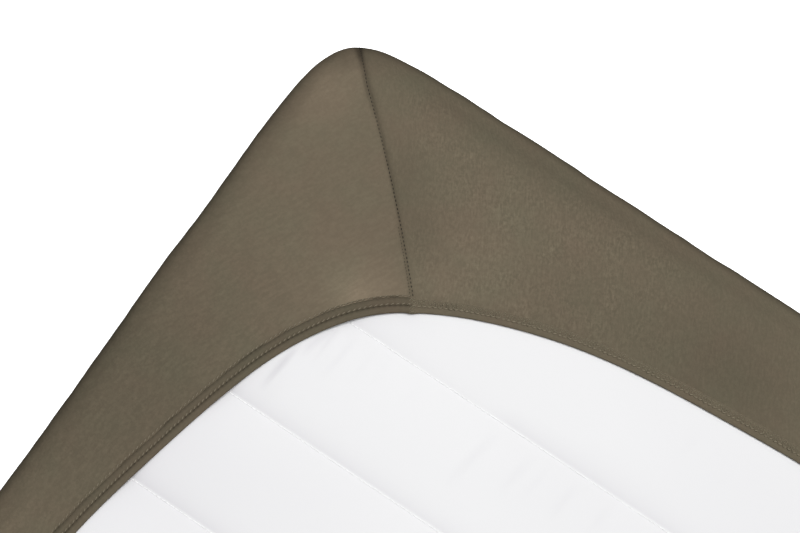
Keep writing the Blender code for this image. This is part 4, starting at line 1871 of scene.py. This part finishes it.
def seam_distance():
    """Distance of every point of the cloth from its corner's seam, + on the short side."""
    away = np.zeros((column_count, row_count))
    for number, corner in enumerate(CORNERS):
        mine = columns["corner"] == number
        seam = sheet_grid[seam_column_of(number)]
        away[mine] = (sheet_grid[mine, :, :2] - seam[:, :2]) @ (-seam_across * corner[:2])
    return away


def seam_shade(away):
    """Bells across the seam; the numbers are their middles and half widths in mm."""
    row = np.arange(row_count)
    share = ramp(row, EDGE_TOP_ROW, EDGE_TOP_ROW + FLAP_ROWS)
    over_edge = np.clip((EDGE_TOP_ROW - row) / EDGE_ROWS, 0, 1)
    depth = np.interp(share, SEAM_SHADE_AT, SEAM_SHADE)
    shade = depth * bell(away + 0.35, 1.6)
    beside = np.interp(share, BESIDE_SHADE_AT, BESIDE_SHADE)
    shade += beside * bell(away, 2.8) * (away > 0)
    flank = bell(away + 3.0, 1.7) * np.clip((share - 0.4) * 4, 0, 1)
    crease = bell(away + 1.9, 1.4 + 2.4 * over_edge) * np.clip(1.1 - share * 7, 0, 1)
    return shade + FLANK_DEPTH * flank + np.interp(over_edge, CREASE_AT, CREASE_DEPTH) * crease


from_seam = seam_distance() / MM
print("the cloth reaches", round(float(np.abs(from_seam).max())), "mm from a seam")

# %% [markdown]
# ## Shade on the edge
#
# Over the edge of the mattress the cloth turns away from the light, so the sheet's outline is
# a dark line.  The lamp and sky leave it too pale there, so painted shade grows with the tilt
# of each row, most on the short sides.

# %% Shade on the edge
RIM_FROM, RIM_FULL = 42, 64      # tilt in degrees
RIM_LONG_SIDE = 0.18
RIM_SHORT_SIDE = 0.46


# Painted shade over the rims, deepest where the cloth is steepest.
def rim_shade():
    wall_top = LOWER_EDGE_ROWS + WALL_ROWS
    tilt = np.zeros(row_count)
    tilt[:wall_top] = 90
    tilt[wall_top : EDGE_TOP_ROW + 1] = np.linspace(90, 0, EDGE_ROWS + 1)
    depth = np.where(columns["side"] > 0, RIM_SHORT_SIDE, RIM_LONG_SIDE)
    return ramp(tilt, RIM_FROM, RIM_FULL) * depth[:, None]


cloth_shade = seam_shade(from_seam) + rim_shade()
set_on_points(sheet_cloth, "shade", cloth_shade)
print("the deepest shade of the cloth is", round(float(cloth_shade.max()), 2))

# %% [markdown]
# ## Raised nap
#
# The short side's flap rubs against what it lies on, so its fibres stand up in tufts, close
# to the hem even beside the seam.  Over the edge and far along the side it's smooth.  The long
# side's flap is smooth near the corner, and a little raised further on.

# %% Raised nap
NAP_FROM_SEAM = 12, 47           # mm: smooth before the first, raised past the second
NAP_FROM_EDGE = 14, 30
NAP_AT_EDGE = 0.25               # what is left of it over the edge
NAP_BEFORE_END = -390, -300      # mm: raised up to 300 along the short side, gone at 390
NAP_AT_END = 0.12
NAP_LONG_SIDE = 0.4
NAP_FAR = 140, 300               # mm in from the short side, on the long side's flap


def raised_nap(away):
    """0 where the cloth is smooth, 1 where the nap stands up."""
    share = (np.arange(row_count) - EDGE_TOP_ROW) / FLAP_ROWS
    near_hem = np.clip((share - 0.65) * 5, 0, 1) * (away > 5)
    along_side = (half_x - np.abs(sheet_grid[:, :, 0])) / MM
    from_side = (half_y - np.abs(sheet_grid[:, :, 1])) / MM
    short_side = np.maximum(ramp(away, *NAP_FROM_SEAM), near_hem)
    short_side = short_side * np.maximum(ramp(from_side, *NAP_FROM_EDGE), NAP_AT_EDGE)
    short_side = short_side * np.maximum(ramp(-along_side, *NAP_BEFORE_END), NAP_AT_END)
    long_side = NAP_LONG_SIDE * ramp(from_side, *NAP_FAR)
    return np.where(columns["side"][:, None] < 0, long_side, short_side)


cloth_nap = raised_nap(from_seam)
set_on_points(sheet_cloth, "nap", cloth_nap)
print("the nap is raised on", round(float((cloth_nap > 0.5).mean()) * 100), "% of the points")

# %% [markdown]
# ## Numbers on the hem
#
# The hem is of the same cloth.  Its shade comes with its section and deepens at the needle's
# holes, and its streaks run along it.

# %% Numbers on the hem
SHORT_SIDE_SOFTER = 0.6          # the short sides' hem has this much less shade
STITCHES_SOFTER = 0.36           # and less still between its stitches
HOLE_DARKER = 0.5
hem_shade = np.array([row[3] for row in HEM_SECTION])
hem_pucker = np.array([row[2] for row in HEM_SECTION])
softness = 1 - hem_side_here[:, None] * (SHORT_SIDE_SOFTER + STITCHES_SOFTER * hem_pucker)
at_holes = 1 + HOLE_DARKER * hem_pucker * (hole[:, None] - 0.5)
hem_across = np.stack([hem_places_at(row[0]) for row in HEM_SECTION], axis=1)
hem_along = np.repeat(hem_numbers[:, None] * hem_step, len(HEM_SECTION), axis=1)
hem_pull = np.stack([hem_along, hem_across, 0 * hem_across], axis=-1)
set_on_points(sheet_hem, "panel", np.ones(hem_grid.shape[:2]))
set_on_points(sheet_hem, "shade", softness * hem_shade * at_holes)
set_on_points(sheet_hem, "pull", hem_pull, "FLOAT_VECTOR")
print("the hem's shade is", round(float((softness * hem_shade * at_holes).max()), 2), "at most")

# %% [markdown]
# ## Give the pieces their finishes
#
# One loop gives each piece its material and hangs it under the root body, so that the whole
# list can be read at a glance.  Then the solids that the pieces stand for are hidden.

# %% Give the pieces their finishes
for piece, material, slot in (
    (sheet_cloth, cotton, "taupe_cotton"),
    (sheet_hem, cotton, "taupe_cotton"),
    (hem_stitches_upper, matched_thread, "taupe_cotton"),
    (hem_stitches_lower, matched_thread, "taupe_cotton"),
    (hem_cover_stitches, cover_thread, "taupe_cotton"),
    (seam_stitches, dark_thread, "taupe_cotton"),
    (mattress_cover, ticking, "white_ticking"),
    (quilting_stitches, white_thread, "white_ticking"),
):
    piece.data.materials.append(material)
    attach(piece, "root")

sewing = [hem_stitches_upper, hem_stitches_lower, hem_cover_stitches, seam_stitches]
for piece in (sheet_cloth, sheet_hem, *sewing):
    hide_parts("fitted_sheet")
for piece in (mattress_cover, quilting_stitches):
    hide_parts("mattress")

print("sheet laid flat:", round(1.72 * 2.72 - 4 * 0.36**2, 2), "square metres")

# %% [markdown]
# ## Floor and backdrop
#
# The picture is a studio cut-out, white all round.  A real studio curves a sheet of paper up
# behind the object; here the floor runs into a white dome far away.  Both show white, but
# throw no light back on the cloth, whose rims are dark in the picture.

# %% Floor and backdrop
FLOOR_RADIUS = 40.0
FLOOR_DROP = 0.6 * MM
FLOOR_SIDES = 96
DOME_RINGS = 12
pale_floor, _, _ = new_material("pale_painted_floor", {
    "Base Color": linear("#F6F6F6"),
    "Roughness": 0.9,
    "Emission Color": linear("#FFFFFF"),
    "Emission Strength": 0.95,
})


def stage_piece(name, points, faces):
    thing = mesh_object(name, points, faces)
    thing.data.materials.append(pale_floor)
    thing.visible_diffuse = False
    thing.visible_shadow = False
    thing.visible_glossy = False


def floor_ring(radius, height):
    angles = np.arange(FLOOR_SIDES) * 2 * math.pi / FLOOR_SIDES
    return np.column_stack([np.cos(angles) * radius, np.sin(angles) * radius, 0 * angles + height])


stage_piece("floor", floor_ring(FLOOR_RADIUS, -FLOOR_DROP), [list(range(FLOOR_SIDES))])
climb = np.linspace(0, math.radians(85), DOME_RINGS)
dome = [floor_ring(FLOOR_RADIUS * math.cos(a), FLOOR_RADIUS * math.sin(a) - FLOOR_DROP) for a in climb]
dome_points = np.stack(dome, axis=1).reshape(-1, 3)
stage_piece("backdrop", dome_points, grid_faces(FLOOR_SIDES, DOME_RINGS, True, False))
print("the white dome stands", round(float(dome_points[:, 2].max()), 1), "m high")

# %% [markdown]
# ## Lamp and sky
#
# The light is soft and comes from nearly overhead.  A sun lamp as wide as a softbox gives it
# a direction, and has no falloff, as a softbox so near would.  A white sky that is brighter
# overhead fills the shadows.

# %% Lamp and sky
LAMP_TURN = math.radians(60)     # from the x axis towards the y axis
LAMP_HEIGHT = math.radians(75)
LAMP_WIDTH = math.radians(26)    # as wide as this seen from the cloth
LAMP_STRENGTH = 2.0
SKY_HORIZON = 0.03
SKY_TOP = 0.60


def light_the_scene():
    data = bpy.data.lights.new("softbox", "SUN")
    data.angle = LAMP_WIDTH
    data.energy = LAMP_STRENGTH
    lamp = bpy.data.objects.new("softbox", data)
    bpy.context.scene.collection.objects.link(lamp)
    lamp.location = (0.0, 0.0, 3.0)
    lamp.rotation_euler = (0.0, math.pi / 2 - LAMP_HEIGHT, LAMP_TURN)


def light_the_sky():
    world = bpy.data.worlds.new("white_sky")
    world.use_nodes = True
    tree = world.node_tree
    way = add_node(tree, "ShaderNodeTexCoord", {}, "Generated")
    up = add_node(tree, "ShaderNodeSeparateXYZ", {0: way}, "Z")
    brighter = add_node(tree, "ShaderNodeMapRange", {
        "Value": up, "To Min": SKY_HORIZON, "To Max": SKY_TOP,
    })
    above = add_node(tree, "ShaderNodeMath", {0: up, 1: 0.0}, operation="GREATER_THAN")
    strength = add_node(tree, "ShaderNodeMath", {0: brighter, 1: above}, operation="MULTIPLY")
    background = tree.nodes["Background"]
    background.inputs["Color"].default_value = linear("#FFFFFF")
    tree.links.new(strength, background.inputs["Strength"])
    bpy.context.scene.world = world
    bpy.context.scene.view_settings.view_transform = "Standard"


light_the_scene()
light_the_sky()
print("the sun lamp is", round(math.degrees(LAMP_WIDTH)), "degrees wide")
